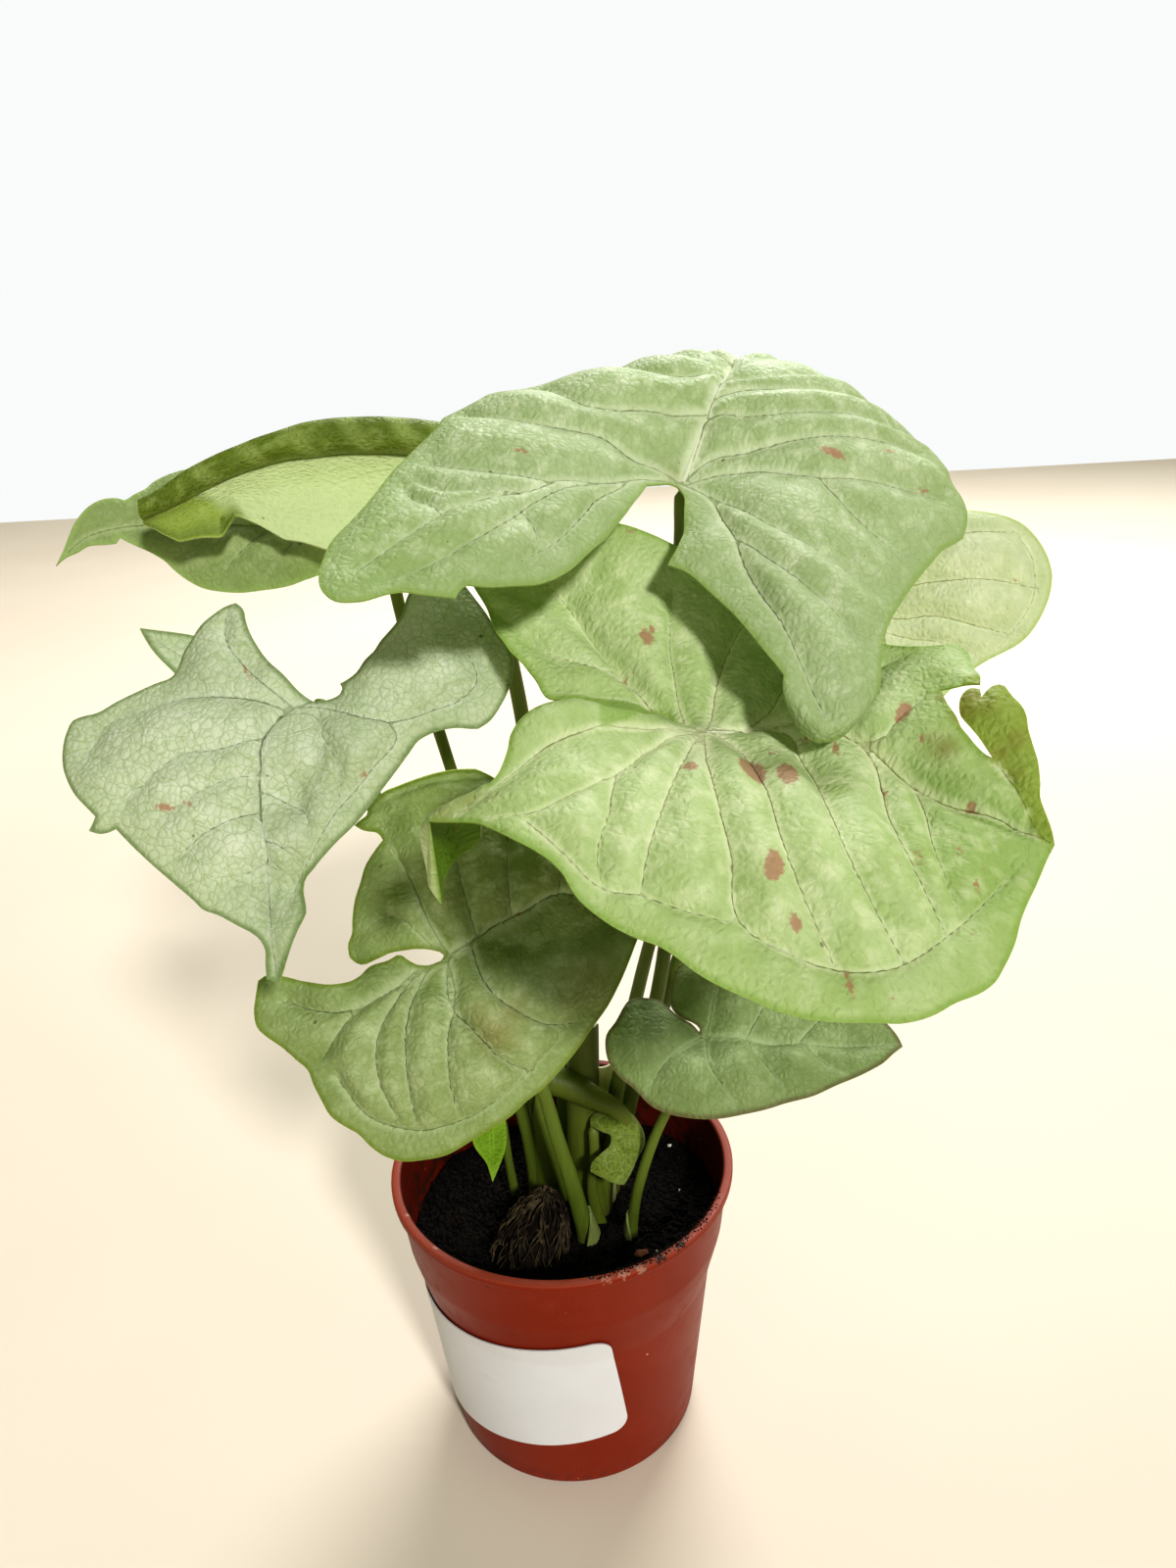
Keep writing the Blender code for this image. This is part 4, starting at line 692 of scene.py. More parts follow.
def curve_through(points, corners, steps):
    """Places along a smooth curve through the points, with a bend at each corner."""
    tangents = []
    last = len(points) - 1
    for i, here in enumerate(points):
        if i in (0, last) or corners[i]:
            tangents.append(None)
            continue
        back = (here - points[i - 1]).length
        ahead = (points[i + 1] - here).length
        slope = (here - points[i - 1]) / back * ahead + (points[i + 1] - here) / ahead * back
        tangents.append(slope / (back + ahead))
    places = []
    for i in range(last):
        start, end = points[i], points[i + 1]
        reach = (end - start).length
        chord = (end - start) / reach
        leave, arrive = tangents[i], tangents[i + 1]
        if leave is None and arrive is None:
            leave = arrive = chord
        elif leave is None:
            leave = 1.5 * chord - 0.5 * arrive
        elif arrive is None:
            arrive = 1.5 * chord - 0.5 * leave
        for k in range(steps[i]):
            t = k / steps[i]
            places.append((2 * t ** 3 - 3 * t ** 2 + 1) * start + (t ** 3 - 2 * t ** 2 + t) * reach * leave
                          + (3 * t ** 2 - 2 * t ** 3) * end + (t ** 3 - t ** 2) * reach * arrive)
    return places + [points[last]]


def smooth_line(places, step):
    """A smooth curve through the places, with a place about every step. Flat places get a height of 0."""
    points = [Vector(place).to_3d() for place in places]
    counts = [max(1, round((b - a).length / step)) for a, b in zip(points, points[1:])]
    return curve_through(points, [False] * len(points), counts)


def spread(values, steps):
    """Numbers blended in straight lines between the outline's points."""
    blended = []
    for i, count in enumerate(steps):
        blended += [values[i] + (values[i + 1] - values[i]) * k / count for k in range(count)]
    return blended + [values[-1]]


# Leaves


def leaf_form(blade):
    """A smooth height over the blade's plan, through its outline's points and the arch inside them."""
    marks = [(0, 0, 0)]
    for p in blade.outline:
        marks += [(t * p.forward, t * p.left, t * p.rise + 4 * t * (1 - t) * p.arch) for t in (0.34, 0.67, 1)]
    marks = np.array(marks)
    count = len(marks)

    def pull(offsets):
        square = (offsets ** 2).sum(axis=2) + 1e-9
        return square * np.log(square)

    level = np.column_stack([np.ones(count), marks[:, :2]])
    system = np.zeros((count + 3, count + 3))
    system[:count, :count] = pull(marks[:, None, :2] - marks[None, :, :2]) + FORM_SLACK * np.eye(count)
    system[:count, count:] = level
    system[count:, :count] = level.T
    weights = np.linalg.solve(system, np.concatenate([marks[:, 2], [0, 0, 0]]))

    def height(plan):
        return (pull(plan[:, None, :] - marks[None, :, :2]) @ weights[:count]
                + np.column_stack([np.ones(len(plan)), plan]) @ weights[count:])

    return height


def leaf_edge(blade, span):
    """Places round the leaf's margin in its plan, with the length and the curl of the flap beyond each."""
    rows = LEAF_EDGES.get(blade.name) or [(p.forward, p.left, p.corner) for p in blade.outline] + [(0, 0, 1)]
    rows = [tuple(row) + (0,) * (5 - len(row)) for row in rows]
    rows.append(rows[0])
    points = [Vector((row[0], row[1], 0)) for row in rows]
    steps = [max(1, round((b - a).length / span)) for a, b in zip(points, points[1:])]
    line = curve_through(points, [row[2] for row in rows], steps)[:-1]
    flaps = spread([row[3] for row in rows], steps)[:-1]
    curls = spread([next((r[4] for r in rows[i:i + 2] if r[4]), 0) if not row[4] else row[4]
                    for i, row in enumerate(rows)], steps)[:-1]
    return np.array([place[:2] for place in line]), np.array(flaps), np.radians(curls)


def inside(plan, edge):
    """Which places lie inside a closed line."""
    x, y = plan[:, :1], plan[:, 1:]
    x0, y0 = edge[:, 0], edge[:, 1]
    x1, y1 = np.roll(x0, -1), np.roll(y0, -1)
    crosses = (y0 > y) != (y1 > y)
    reach = x0 + (y - y0) * (x1 - x0) / np.where(y1 == y0, 1e-9, y1 - y0)
    return (crosses & (x < reach)).sum(axis=1) % 2 == 1


def nearest(plan, line):
    """The number of the nearest place of a line for each place, and the distance to it."""
    tree = KDTree(len(line))
    for i, place in enumerate(line):
        tree.insert((place[0], place[1], 0), i)
    tree.balance()
    found = [tree.find((x, y, 0)) for x, y in plan]
    return np.array([f[1] for f in found], int), np.array([f[2] for f in found])


def gap_to(plan, line):
    """Distance from each place to the nearest place of a line."""
    return nearest(plan, line)[1]


def fill_leaf(edge, lines, span):
    """Triangles that fill the leaf's plan evenly, with places along the given lines too."""
    low, high = edge.min(axis=0), edge.max(axis=0)
    rows = int((high[1] - low[1]) / (span * ROW_STEP)) + 1
    columns = int((high[0] - low[0]) / span) + 2
    row, column = np.mgrid[0:rows, 0:columns]
    grid = np.stack([low[0] + (column + 0.5 * (row % 2)) * span, low[1] + row * span * ROW_STEP], axis=2)
    grid = grid.reshape(-1, 2)
    grid = grid[inside(grid, edge)]
    grid = grid[gap_to(grid, edge) > 0.6 * span]
    drawn, bonds = [], []
    for line in lines:
        line = np.array([place[:2] for place in smooth_line(line, 0.8 * span)])
        kept_places = inside(line, edge) & (gap_to(line, edge) > 0.5)
        for i, place in enumerate(line):
            if kept_places[i]:
                if i and kept_places[i - 1]:
                    bonds.append((len(edge) + len(drawn) - 1, len(edge) + len(drawn)))
                drawn.append(place)
    grid = grid[gap_to(grid, drawn) > 0.45 * span]
    places = [Vector(place) for place in np.concatenate([edge, drawn, grid])]
    found = delaunay_2d_cdt(places, bonds, [list(range(len(edge)))], 1, 1e-4)
    net, triangles, origins = np.array([tuple(v) for v in found[0]]), np.array(found[2]), found[3]
    at = {origin: i for i, sources in enumerate(origins) for origin in sources}
    return net, triangles, [at[i] for i in range(len(edge))]


def flap_rows(edge, flaps, curls, height, rows):
    """Places of the flaps beyond the margin, rolled over from it, and their places in the unrolled plan."""
    ahead = np.roll(edge, -3, axis=0) - np.roll(edge, 3, axis=0)
    out = np.stack([ahead[:, 1], -ahead[:, 0]], axis=1)
    out /= np.maximum(np.linalg.norm(out, axis=1, keepdims=True), 1e-9)
    slope = height(edge + 0.5 * out) - height(edge - 0.5 * out)
    along = np.column_stack([out, slope])
    along /= np.linalg.norm(along, axis=1, keepdims=True)
    up = np.array([0, 0, 1.0]) - along[:, 2:] * along
    up *= (np.sign(curls) / np.linalg.norm(up, axis=1))[:, None]
    foot = np.column_stack([edge, height(edge)])
    rolled, plans = [], []
    for k in range(1, rows + 1):
        past = (flaps * k / rows)[:, None]
        turn = np.minimum(past / ROLL_RADIUS, np.abs(curls)[:, None])
        straight = past - turn * ROLL_RADIUS
        rolled.append(foot + ROLL_RADIUS * (np.sin(turn) * along + (1 - np.cos(turn)) * up)
                      + straight * (np.cos(turn) * along + np.sin(turn) * up))
        plans.append(edge + past * out)
    return np.stack(rolled, axis=1), np.stack(plans, axis=1)


def place_normals(places, triangles):
    """A unit normal at each place of a net of triangles."""
    a, b, c = (places[triangles[:, i]] for i in range(3))
    facing = np.cross(b - a, c - a)
    normals = np.zeros_like(places)
    for i in range(3):
        np.add.at(normals, triangles[:, i], facing)
    return normals / np.maximum(np.linalg.norm(normals, axis=1, keepdims=True), 1e-9)


def vein_field(plan, veins):
    """How far each place lies from the nearest vein, and that vein's half width there."""
    places, widths = [], []
    for vein in veins:
        line = smooth_line(vein.places, 0.25)
        places += line
        widths += [vein.width * (1 - 0.6 * i / len(line)) for i in range(len(line))]
    at, distance = nearest(plan, places)
    return distance, np.array(widths)[at]


def fleck_field(plan, flecks):
    """Signed distance in millimetres to the closest brown fleck, negative inside it."""
    closest = np.full(len(plan), 3.0)
    for x, y, length, width, angle in flecks:
        turn = math.radians(angle)
        offset = plan - (x, y)
        along = offset[:, 0] * math.cos(turn) + offset[:, 1] * math.sin(turn)
        aside = -offset[:, 0] * math.sin(turn) + offset[:, 1] * math.cos(turn)
        reach = np.hypot(along / (length / 2), aside / (width / 2))
        closest = np.minimum(closest, (reach - 1) * width / 2)
    return closest


def zone_field(plan, zones):
    """How far each place lies in soft round zones of x, y, reach and strength."""
    share = np.zeros(len(plan))
    for x, y, reach, strength in zones:
        share = np.maximum(share, strength * np.exp(-((plan[:, 0] - x) ** 2 + (plan[:, 1] - y) ** 2) / reach ** 2))
    return share


def ripple(places, size, height, seed):
    """Slow rises and dips over a surface, as one number for each place."""
    return height * np.array([noise(Vector(place) / size + Vector((seed, 0, 0))) for place in places])


def leaf_sheet(places, triangles, lift, thickness):
    """A closed leaf round a net of triangles: upper side, lower side and the rim between them."""
    raised = places + place_normals(places, triangles) * lift[:, None]
    normals = place_normals(raised, triangles) * thickness[:, None] / 2
    count = len(places)
    faces = triangles.tolist() + (triangles[:, ::-1] + count).tolist()
    sides = {(int(t[i]), int(t[(i + 1) % 3])) for t in triangles for i in range(3)}
    faces += [[b, a, a + count, b + count] for a, b in sides if (b, a) not in sides]
    return np.concatenate([raised + normals, raised - normals]), faces


def keep_in_box(places):
    """Stops fine relief from standing out of the solids' own box."""
    return np.clip(places, np.array(cad_box[0]) / MM, np.array(cad_box[1]) / MM)


def leaf_net_of(blade, height, span, rows):
    """The leaf's net with its flaps: places, plan, triangles, and the line that its margin is counted from."""
    edge, flaps, curls = leaf_edge(blade, span)
    lines = [vein.places for vein in VEINS[blade.name] + CREASES.get(blade.name, [])]
    plan, triangles, edge_at = fill_leaf(edge, lines, span)
    places = np.column_stack([plan, height(plan)])
    if not flaps.any():
        return places, plan, triangles, edge
    rolled, plans = flap_rows(edge, flaps, curls, height, rows)
    triangles = triangles.tolist()
    start = len(places)
    for i in range(len(edge)):
        j = (i + 1) % len(edge)
        if flaps[i] < FLAP_LEAST and flaps[j] < FLAP_LEAST:
            continue
        here = [edge_at[i]] + list(range(start + i * rows, start + (i + 1) * rows))
        there = [edge_at[j]] + list(range(start + j * rows, start + (j + 1) * rows))
        for k in range(rows):
            triangles += [[here[k], here[k + 1], there[k + 1]], [here[k], there[k + 1], there[k]]]
    used, triangles = np.unique(np.array(triangles), return_inverse=True)
    places = np.concatenate([places, rolled.reshape(-1, 3)])[used]
    plan = np.concatenate([plan, plans.reshape(-1, 2)])[used]
    border = np.concatenate([edge[flaps < FLAP_LEAST], plans[flaps >= FLAP_LEAST][:, -1]])
    return places, plan, triangles.reshape(-1, 3), border


def leaf_relief(blade, places, plan, margin, veins, pillow, wave, seed):
    """How far the leaf's skin stands from its form, and how thick the leaf is there."""
    distance, width = veins
    vein = np.exp(-(distance / (1.1 * width)) ** 2)
    swell = 1 - np.exp(-(distance + 2 * (MIDRIB - width)) / PILLOW_REACH)
    settle = np.clip(margin / SETTLE_REACH, 0, 1) * np.clip(np.hypot(plan[:, 0], plan[:, 1]) / 8, 0, 1)
    lift = pillow * settle * (PILLOW_HEIGHT * (swell - 0.6) - CREASE_DEPTH * vein * (width / MIDRIB))
    for fold in CREASES.get(blade.name, ()):
        lift -= fold.depth * np.exp(-(gap_to(plan, smooth_line(fold.places, 0.3)) / fold.reach) ** 2)
    waves = ripple(places, 11.0, wave, seed) + ripple(places, 4.0, 0.4 * wave, seed + 5)
    lift += np.clip(margin / 3, 0.25, 1) * waves
    thickness = MARGIN_THICKNESS + (LEAF_THICKNESS - MARGIN_THICKNESS) * np.clip(margin / SETTLE_REACH, 0, 1)
    thickness += 0.35 * vein * (width / MIDRIB) * np.clip(margin / 12.0, 0, 1)
    return lift, thickness


def make_leaf(blade, material, span, rows=8, pillow=1.0, wave=0.35, seed=0.0):
    """A finished leaf: its even net, its flaps, the quilting between its veins and a slow ripple."""
    places, plan, triangles, border = leaf_net_of(blade, leaf_form(blade), span, rows)
    margin = gap_to(plan, border)
    distance, width = vein_field(plan, VEINS[blade.name])
    lift, thickness = leaf_relief(blade, places, plan, margin, (distance, width), pillow, wave, seed)
    sheet, faces = leaf_sheet(places, triangles, lift, thickness)
    turn = Euler([math.radians(angle) for angle in (blade.roll, -blade.pitch, blade.heading)]).to_matrix()
    sheet = keep_in_box(sheet @ np.array(turn).T + np.array(blade.joint))
    # The torn flap, which the material paints a darker olive as painted shade
    torn = inside(plan, np.array(SHADED_TORN_FLAP)) if blade is RIGHT else np.zeros(len(plan))
    layers = {
        "rib": np.minimum(distance / width, 9.0), "rank": width / MIDRIB, "margin": margin, "torn": torn,
        "fleck": fleck_field(plan, FLECKS.get(blade.name, ())), "green": zone_field(plan, GREENER_AND_SHADED.get(blade.name, ())),
        "stain": zone_field(plan, STAINS.get(blade.name, ())),
    }
    layers = {name: np.tile(values, 2) for name, values in layers.items()}
    layers["under"] = np.repeat([0.0, 1.0], len(places))
    add_piece(blade.name.replace("blade", "leaf"), sheet, faces, material, [blade.name], "blade",
              smooth_angle=60, layers=layers, plan=np.tile(plan / PLAN_MAP_SIZE, (2, 1)))


def rolled_section(top, radius, hang, swing, steps):
    """One slice across the rolled leaf, from the roll's hidden edge, over its top and down to the hem."""
    turns = np.linspace(ROLL_START, ROLL_END, steps)
    slice_places = [Vector((0, -radius * math.sin(a), -radius + radius * math.cos(a))) for a in turns]
    foot = slice_places[-1]
    bends = [Vector((0, 0, 0)), Vector((0, 0.3 * radius, -0.25 * hang)), Vector((0, -0.3 * swing, -0.6 * hang)),
             Vector((0, -swing, -hang))]
    hem = curve_through(bends, [False] * 4, [steps // 3] * 3) if hang > 0.5 else [bends[0]] * (steps // 3 * 3 + 1)
    return [Vector(top) + place for place in slice_places + [foot + place for place in hem[1:]]]


def make_rolled_leaf(material):
    """The leaf whose far half is rolled over towards the front."""
    around = 36
    slices = [rolled_section(*station, around) for station in ROLLED_STATIONS]
    steps = [14] * (len(slices) - 1)
    lines = [curve_through(list(line), [False] * len(slices), steps) for line in zip(*slices)]
    net = np.array([[tuple(place) for place in column] for column in zip(*lines)])
    columns, rows = net.shape[:2]
    hem = net[:, around - 1:].copy()
    kept_shares = np.interp(np.linspace(0, 1, columns), *zip(*HEM))
    steps_down = np.arange(hem.shape[1])
    for column, kept_share in enumerate(kept_shares):
        for axis in range(3):
            net[column, around - 1:, axis] = np.interp(steps_down * kept_share, steps_down, hem[column, :, axis])
    lift = ripple(net.reshape(-1, 3), 6.0, 0.35, 3.0).reshape(columns, rows, 1)
    places = keep_in_box(thick_net(net, LEAF_THICKNESS, lift))
    along = np.repeat(np.linspace(0, 1, columns), rows)
    across = np.tile(np.linspace(0, 1, rows), columns)
    foot = around / rows
    streak = np.minimum.reduce([np.abs(along - place + 0.25 * (across - 0.4)) for place in STREAKS]) * 90
    ridge = np.abs(across - foot + 0.03) * 60
    drop = np.clip(across - foot, 0, 1) / (1 - foot) * np.repeat(kept_shares, rows)
    # A band of painted shade where the hem folds back
    fold = (np.abs(along - SHADED_FOLD_PLACE) < 0.028) & (drop > 0.56)
    hanging = np.clip((across - foot) / 0.02, 0, 1) * ~fold
    tip = np.clip((along + 0.3 * (across - 0.75) - 0.62) / 0.05, 0, 1)
    plain = np.zeros(len(along))
    upper = {"rib": np.where(across < foot, np.minimum(np.minimum(streak, ridge), 9.0), 9.0), "rank": plain + 0.7,
             "margin": np.minimum(across, 1 - across) * 45, "fleck": plain + 3.0, "stain": plain, "torn": plain}
    layers = {name: np.tile(values, 2) for name, values in upper.items()}
    layers["under"] = np.concatenate([plain + 1, hanging * (1 - tip)])
    layers["green"] = np.concatenate([plain, hanging * tip])
    plan = np.tile(np.stack([along * 0.55, across * 0.4], axis=1), (2, 1))
    add_piece("leaf_rolled", places, closed_sheet(columns, rows), material, ["blade_rolled"], "blade",
              layers=layers, plan=plan)


# Stems and sheaths


def sweep(route, radii, sides, groove=0.0):
    """Places and faces of a closed tube along a route, with a radius at each place of it."""
    places = []
    side = Vector((1, 0, 0))
    last = len(route) - 1
    for i, place in enumerate(route):
        ahead = (route[min(i + 1, last)] - route[max(i - 1, 0)]).normalized()
        side = (side - side.dot(ahead) * ahead).normalized()
        across = ahead.cross(side)
        for k in range(sides):
            turn = 2 * math.pi * k / sides
            radius = radii[i] * (1 - groove * math.exp(-((turn - math.pi * 1.5) / 0.5) ** 2))
            places.append(place + radius * (math.cos(turn) * side + math.sin(turn) * across))
    return places, tube_faces(len(route), sides)


def make_stem(stem, blade_joint, material):
    """A leaf stalk that thickens into the soil and runs into its leaf's joint."""
    last = Vector(stem.route[-2])
    route = list(stem.route[:-1]) + [blade_joint + (last - blade_joint).normalized() * 0.7]
    line = smooth_line(route, 1.2)
    radii = []
    for i in range(len(line)):
        share = i / (len(line) - 1)
        radius = stem.base_radius + (stem.top_radius - stem.base_radius) * min(1.0, 1.6 * share)
        flare = 1 + 0.22 * math.exp(-((share) / 0.05) ** 2)
        knee = 1 + 0.18 * math.exp(-((share - 0.985) / 0.02) ** 2)
        radii.append(radius * flare * knee * (1 + 0.03 * noise(line[i] / 5)))
    radii[-1] = 0.45 * radii[-1]
    places, faces = sweep(line, radii, 16, groove=0.12)
    height = np.repeat(np.linspace(0, 1, len(line)), 16)
    add_piece(stem.name.replace("stem", "stalk"), places, faces, material, [stem.name], "stem",
              smooth_angle=70, layers={"height": height})


def make_sheath(name, route, material, radius, opening, facing, start=0.0, end=1.0, flare=1.0, taper=0.75):
    """A thin open sheath round a stalk, from start to end of a route. It wraps opening degrees to each side of
    its back, and faces a direction in degrees."""
    line = smooth_line(route, 1.0)
    line = line[round(start * (len(line) - 1)):round(end * (len(line) - 1)) + 1]
    sides = 20
    last = len(line) - 1
    net = []
    for i, place in enumerate(line):
        share = i / last
        ahead = (line[min(i + 1, last)] - line[max(i - 1, 0)]).normalized()
        out = Vector((math.cos(math.radians(facing)), math.sin(math.radians(facing)), 0))
        out = (out - out.dot(ahead) * ahead).normalized()
        across = ahead.cross(out)
        wrap = math.radians(opening) * (1 - taper * share ** 2)
        for k in range(sides + 1):
            aside = 2 * k / sides - 1
            reach = radius * (1 + flare * 0.5 * abs(aside) ** 3) * (1 - 0.35 * share)
            net.append(place - reach * math.cos(wrap * aside) * out + reach * math.sin(wrap * aside) * across)
    net = np.array([tuple(place) for place in net]).reshape(len(line), sides + 1, 3)
    height = np.tile(np.repeat(np.linspace(0, 1, len(line)), sides + 1), 2)
    add_piece(name, thick_net(net, SHEATH_THICKNESS), closed_sheet(len(line), sides + 1), material, (), "stem",
              layers={"height": height})


# Pot and label


def turned(profile, sides):
    """Places and faces of a closed solid turned from (radius, z) points that start and end on the axis."""
    places, rings, faces = [], [], []
    for radius, z in profile:
        ring = [(x, y, z) for x, y in circle(radius, sides if radius else 1)]
        rings.append(range(len(places), len(places) + len(ring)))
        places += ring
    for low, high in zip(rings, rings[1:]):
        for i in range(sides):
            j = (i + 1) % sides
            corners = [low[i % len(low)], low[j % len(low)], high[j % len(high)], high[i % len(high)]]
            faces.append(list(dict.fromkeys(corners)))
    return places, faces


def rounded(profile, reach):
    """The profile with each inner corner cut twice, so that it reads as a moulded radius."""
    soft = [profile[0]]
    for before, here, after in zip(profile, profile[1:], profile[2:]):
        before, here, after = Vector(before), Vector(here), Vector(after)
        r = min(reach, (here - before).length * 0.4, (after - here).length * 0.4)
        start = here + (before - here).normalized() * r
        end = here + (after - here).normalized() * r
        for t in (0.0, 0.25, 0.5, 0.75, 1.0):
            place = start * (1 - t) ** 2 + here * 2 * t * (1 - t) + end * t ** 2
            soft.append((place.x, place.y))
    return soft + [profile[-1]]


def outer_radius(z):
    """Outer radius of the pot's body or of the shoulder above it, at a height."""
    if z < SHOULDER_BOTTOM_Z:
        return BASE_RADIUS + (SHOULDER_BOTTOM_RADIUS - BASE_RADIUS) * z / SHOULDER_BOTTOM_Z
    share = (z - SHOULDER_BOTTOM_Z) / (COLLAR_BOTTOM_Z - SHOULDER_BOTTOM_Z)
    return SHOULDER_BOTTOM_RADIUS + (COLLAR_BOTTOM_RADIUS - SHOULDER_BOTTOM_RADIUS) * share


def make_pot(material):
    """The pot's shell, turned from its profile, with its drain holes cut."""
    lip_inner = RIM_RADIUS - LIP_WIDTH
    collar_top = POT_HEIGHT - LIP_HEIGHT
    profile = [
        (0, 0.6), (9, 0.6), (9.6, 0), (BASE_RADIUS - 0.8, 0), (BASE_RADIUS, 0.9),
        (SHOULDER_BOTTOM_RADIUS, SHOULDER_BOTTOM_Z), (COLLAR_BOTTOM_RADIUS, COLLAR_BOTTOM_Z),
        (lip_inner + WALL, collar_top), (RIM_RADIUS, collar_top + 0.3), (RIM_RADIUS, POT_HEIGHT - 0.1),
        (RIM_RADIUS - 0.5, POT_HEIGHT), (lip_inner + 0.1, POT_HEIGHT - 0.05),
        (COLLAR_BOTTOM_RADIUS - WALL + 0.2, COLLAR_BOTTOM_Z + 0.2),
        (SHOULDER_BOTTOM_RADIUS - WALL, SHOULDER_BOTTOM_Z),
        (outer_radius(POT_FLOOR_Z) - WALL, POT_FLOOR_Z), (0, POT_FLOOR_Z),
    ]
    shell = linked("pot_shell", new_mesh("pot_shell", *turned(rounded(profile, 0.7), 192)))
    holes = bmesh.new()
    for x, y in circle(DRAIN_RING * MM, DRAIN_HOLES):
        hole = bmesh.ops.create_cone(
            holes, cap_ends=True, segments=24, radius1=DRAIN_RADIUS * MM, radius2=DRAIN_RADIUS * MM, depth=8 * MM)
        bmesh.ops.translate(holes, verts=hole["verts"], vec=(x, y, 0))
    drill = linked("drill", bpy.data.meshes.new("drill"))
    holes.to_mesh(drill.data)
    holes.free()
    cut = shell.modifiers.new("drain holes", "BOOLEAN")
    cut.object = drill
    dress(plain_mesh(shell, "pot_shell"), material, 50)
    bpy.data.objects.remove(drill)
    finish_piece(shell, ["pot"], "plastic")


def make_label(material):
    """A thin rounded rectangle of paper, wrapped round the body."""
    columns, rows = 90, 46
    half_width, half_height = LABEL_WIDTH / 2, LABEL_HEIGHT / 2
    places = []
    for lift in (LABEL_LIFT + LABEL_THICKNESS, LABEL_LIFT):
        for i in range(columns + 1):
            across = half_width * math.sin(math.pi / 2 * (2 * i / columns - 1))
            inset = max(0.0, abs(across) - (half_width - LABEL_CORNER))
            top = half_height - LABEL_CORNER + math.sqrt(LABEL_CORNER ** 2 - min(inset, LABEL_CORNER) ** 2)
            for j in range(rows + 1):
                up = top * (2 * j / rows - 1)
                arc = LABEL_ARC + across * math.cos(LABEL_TILT) - up * math.sin(LABEL_TILT)
                z = LABEL_Z + across * math.sin(LABEL_TILT) + up * math.cos(LABEL_TILT)
                crease = 0.12 * math.exp(-(((across - 3) * 0.35 + (up - 4)) / 0.5) ** 2 - ((across - 3) / 4) ** 2)
                radius = outer_radius(z) + lift + crease + 0.03 * noise(Vector((across, up, 0)) / 6)
                turn = arc / outer_radius(LABEL_Z)
                places.append((radius * math.sin(turn), -radius * math.cos(turn), z))
    faces = closed_sheet(columns + 1, rows + 1, flip=True)
    add_piece("label_paper", places, faces, material, ["label"], "paper", smooth_angle=60)


# Soil, crumbs and roots


def soil_height(x, y):
    """Height of the soil's surface: low at the left wall, banked up at the right and round the stems."""
    radius = math.hypot(x, y)
    level = SOIL_EDGE_Z + (SOIL_MIDDLE_Z - SOIL_EDGE_Z) * (1 - (radius / 31) ** 2)
    level += 0.035 * x
    level += 1.2 * noise(Vector((x, y, 0)) / 7) + 0.7 * noise(Vector((x, y, 4)) / 2.6)
    level += 0.35 * noise(Vector((x, y, 9)) / 1.1)
    return level


def make_soil(material):
    """The soil: an uneven top inside the collar, and a plug that fills the body below it."""
    rings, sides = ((70, 200))
    edge = COLLAR_BOTTOM_RADIUS - WALL - SOIL_CLEARANCE
    places = [(0, 0, soil_height(0, 0))]
    for ring in range(1, rings):
        places += [(x, y, soil_height(x, y)) for x, y in circle(edge * ring / rings, sides)]
    collar_slope = (COLLAR_BOTTOM_RADIUS - SHOULDER_BOTTOM_RADIUS) / (COLLAR_BOTTOM_Z - SHOULDER_BOTTOM_Z)
    for x, y in circle(edge, sides):
        z = soil_height(x, y) - 0.6
        limit = SHOULDER_BOTTOM_RADIUS + (z - SHOULDER_BOTTOM_Z) * collar_slope - WALL - SOIL_CLEARANCE
        places.append((x * min(1, limit / edge), y * min(1, limit / edge), z))
    for z in (SHOULDER_BOTTOM_Z, SOIL_BOTTOM_Z):
        places += [(x, y, z) for x, y in circle(outer_radius(z) - WALL - 0.3, sides)]
    faces = [(0, 1 + i, 1 + (i + 1) % sides) for i in range(sides)] + ring_faces(rings + 2, sides, first=1)
    faces.append(tuple(range(len(places) - 1, len(places) - 1 - sides, -1)))
    add_piece("soil_bed", places, faces, material, ["soil"], "peat", smooth_angle=80)


def crumb_shape(name, seed, roughness):
    """A small irregular grain, about a millimetre across, used only as a pattern to scatter."""
    shape = bmesh.new()
    bmesh.ops.create_icosphere(shape, subdivisions=1, radius=0.5 * MM)
    for vert in shape.verts:
        vert.co *= 1 + roughness * noise(vert.co / MM * 4 + Vector((seed, 0, 0)))
        vert.co.z *= 0.75
    mesh = bpy.data.meshes.new(name)
    shape.to_mesh(mesh)
    shape.free()
    return linked(name, mesh)


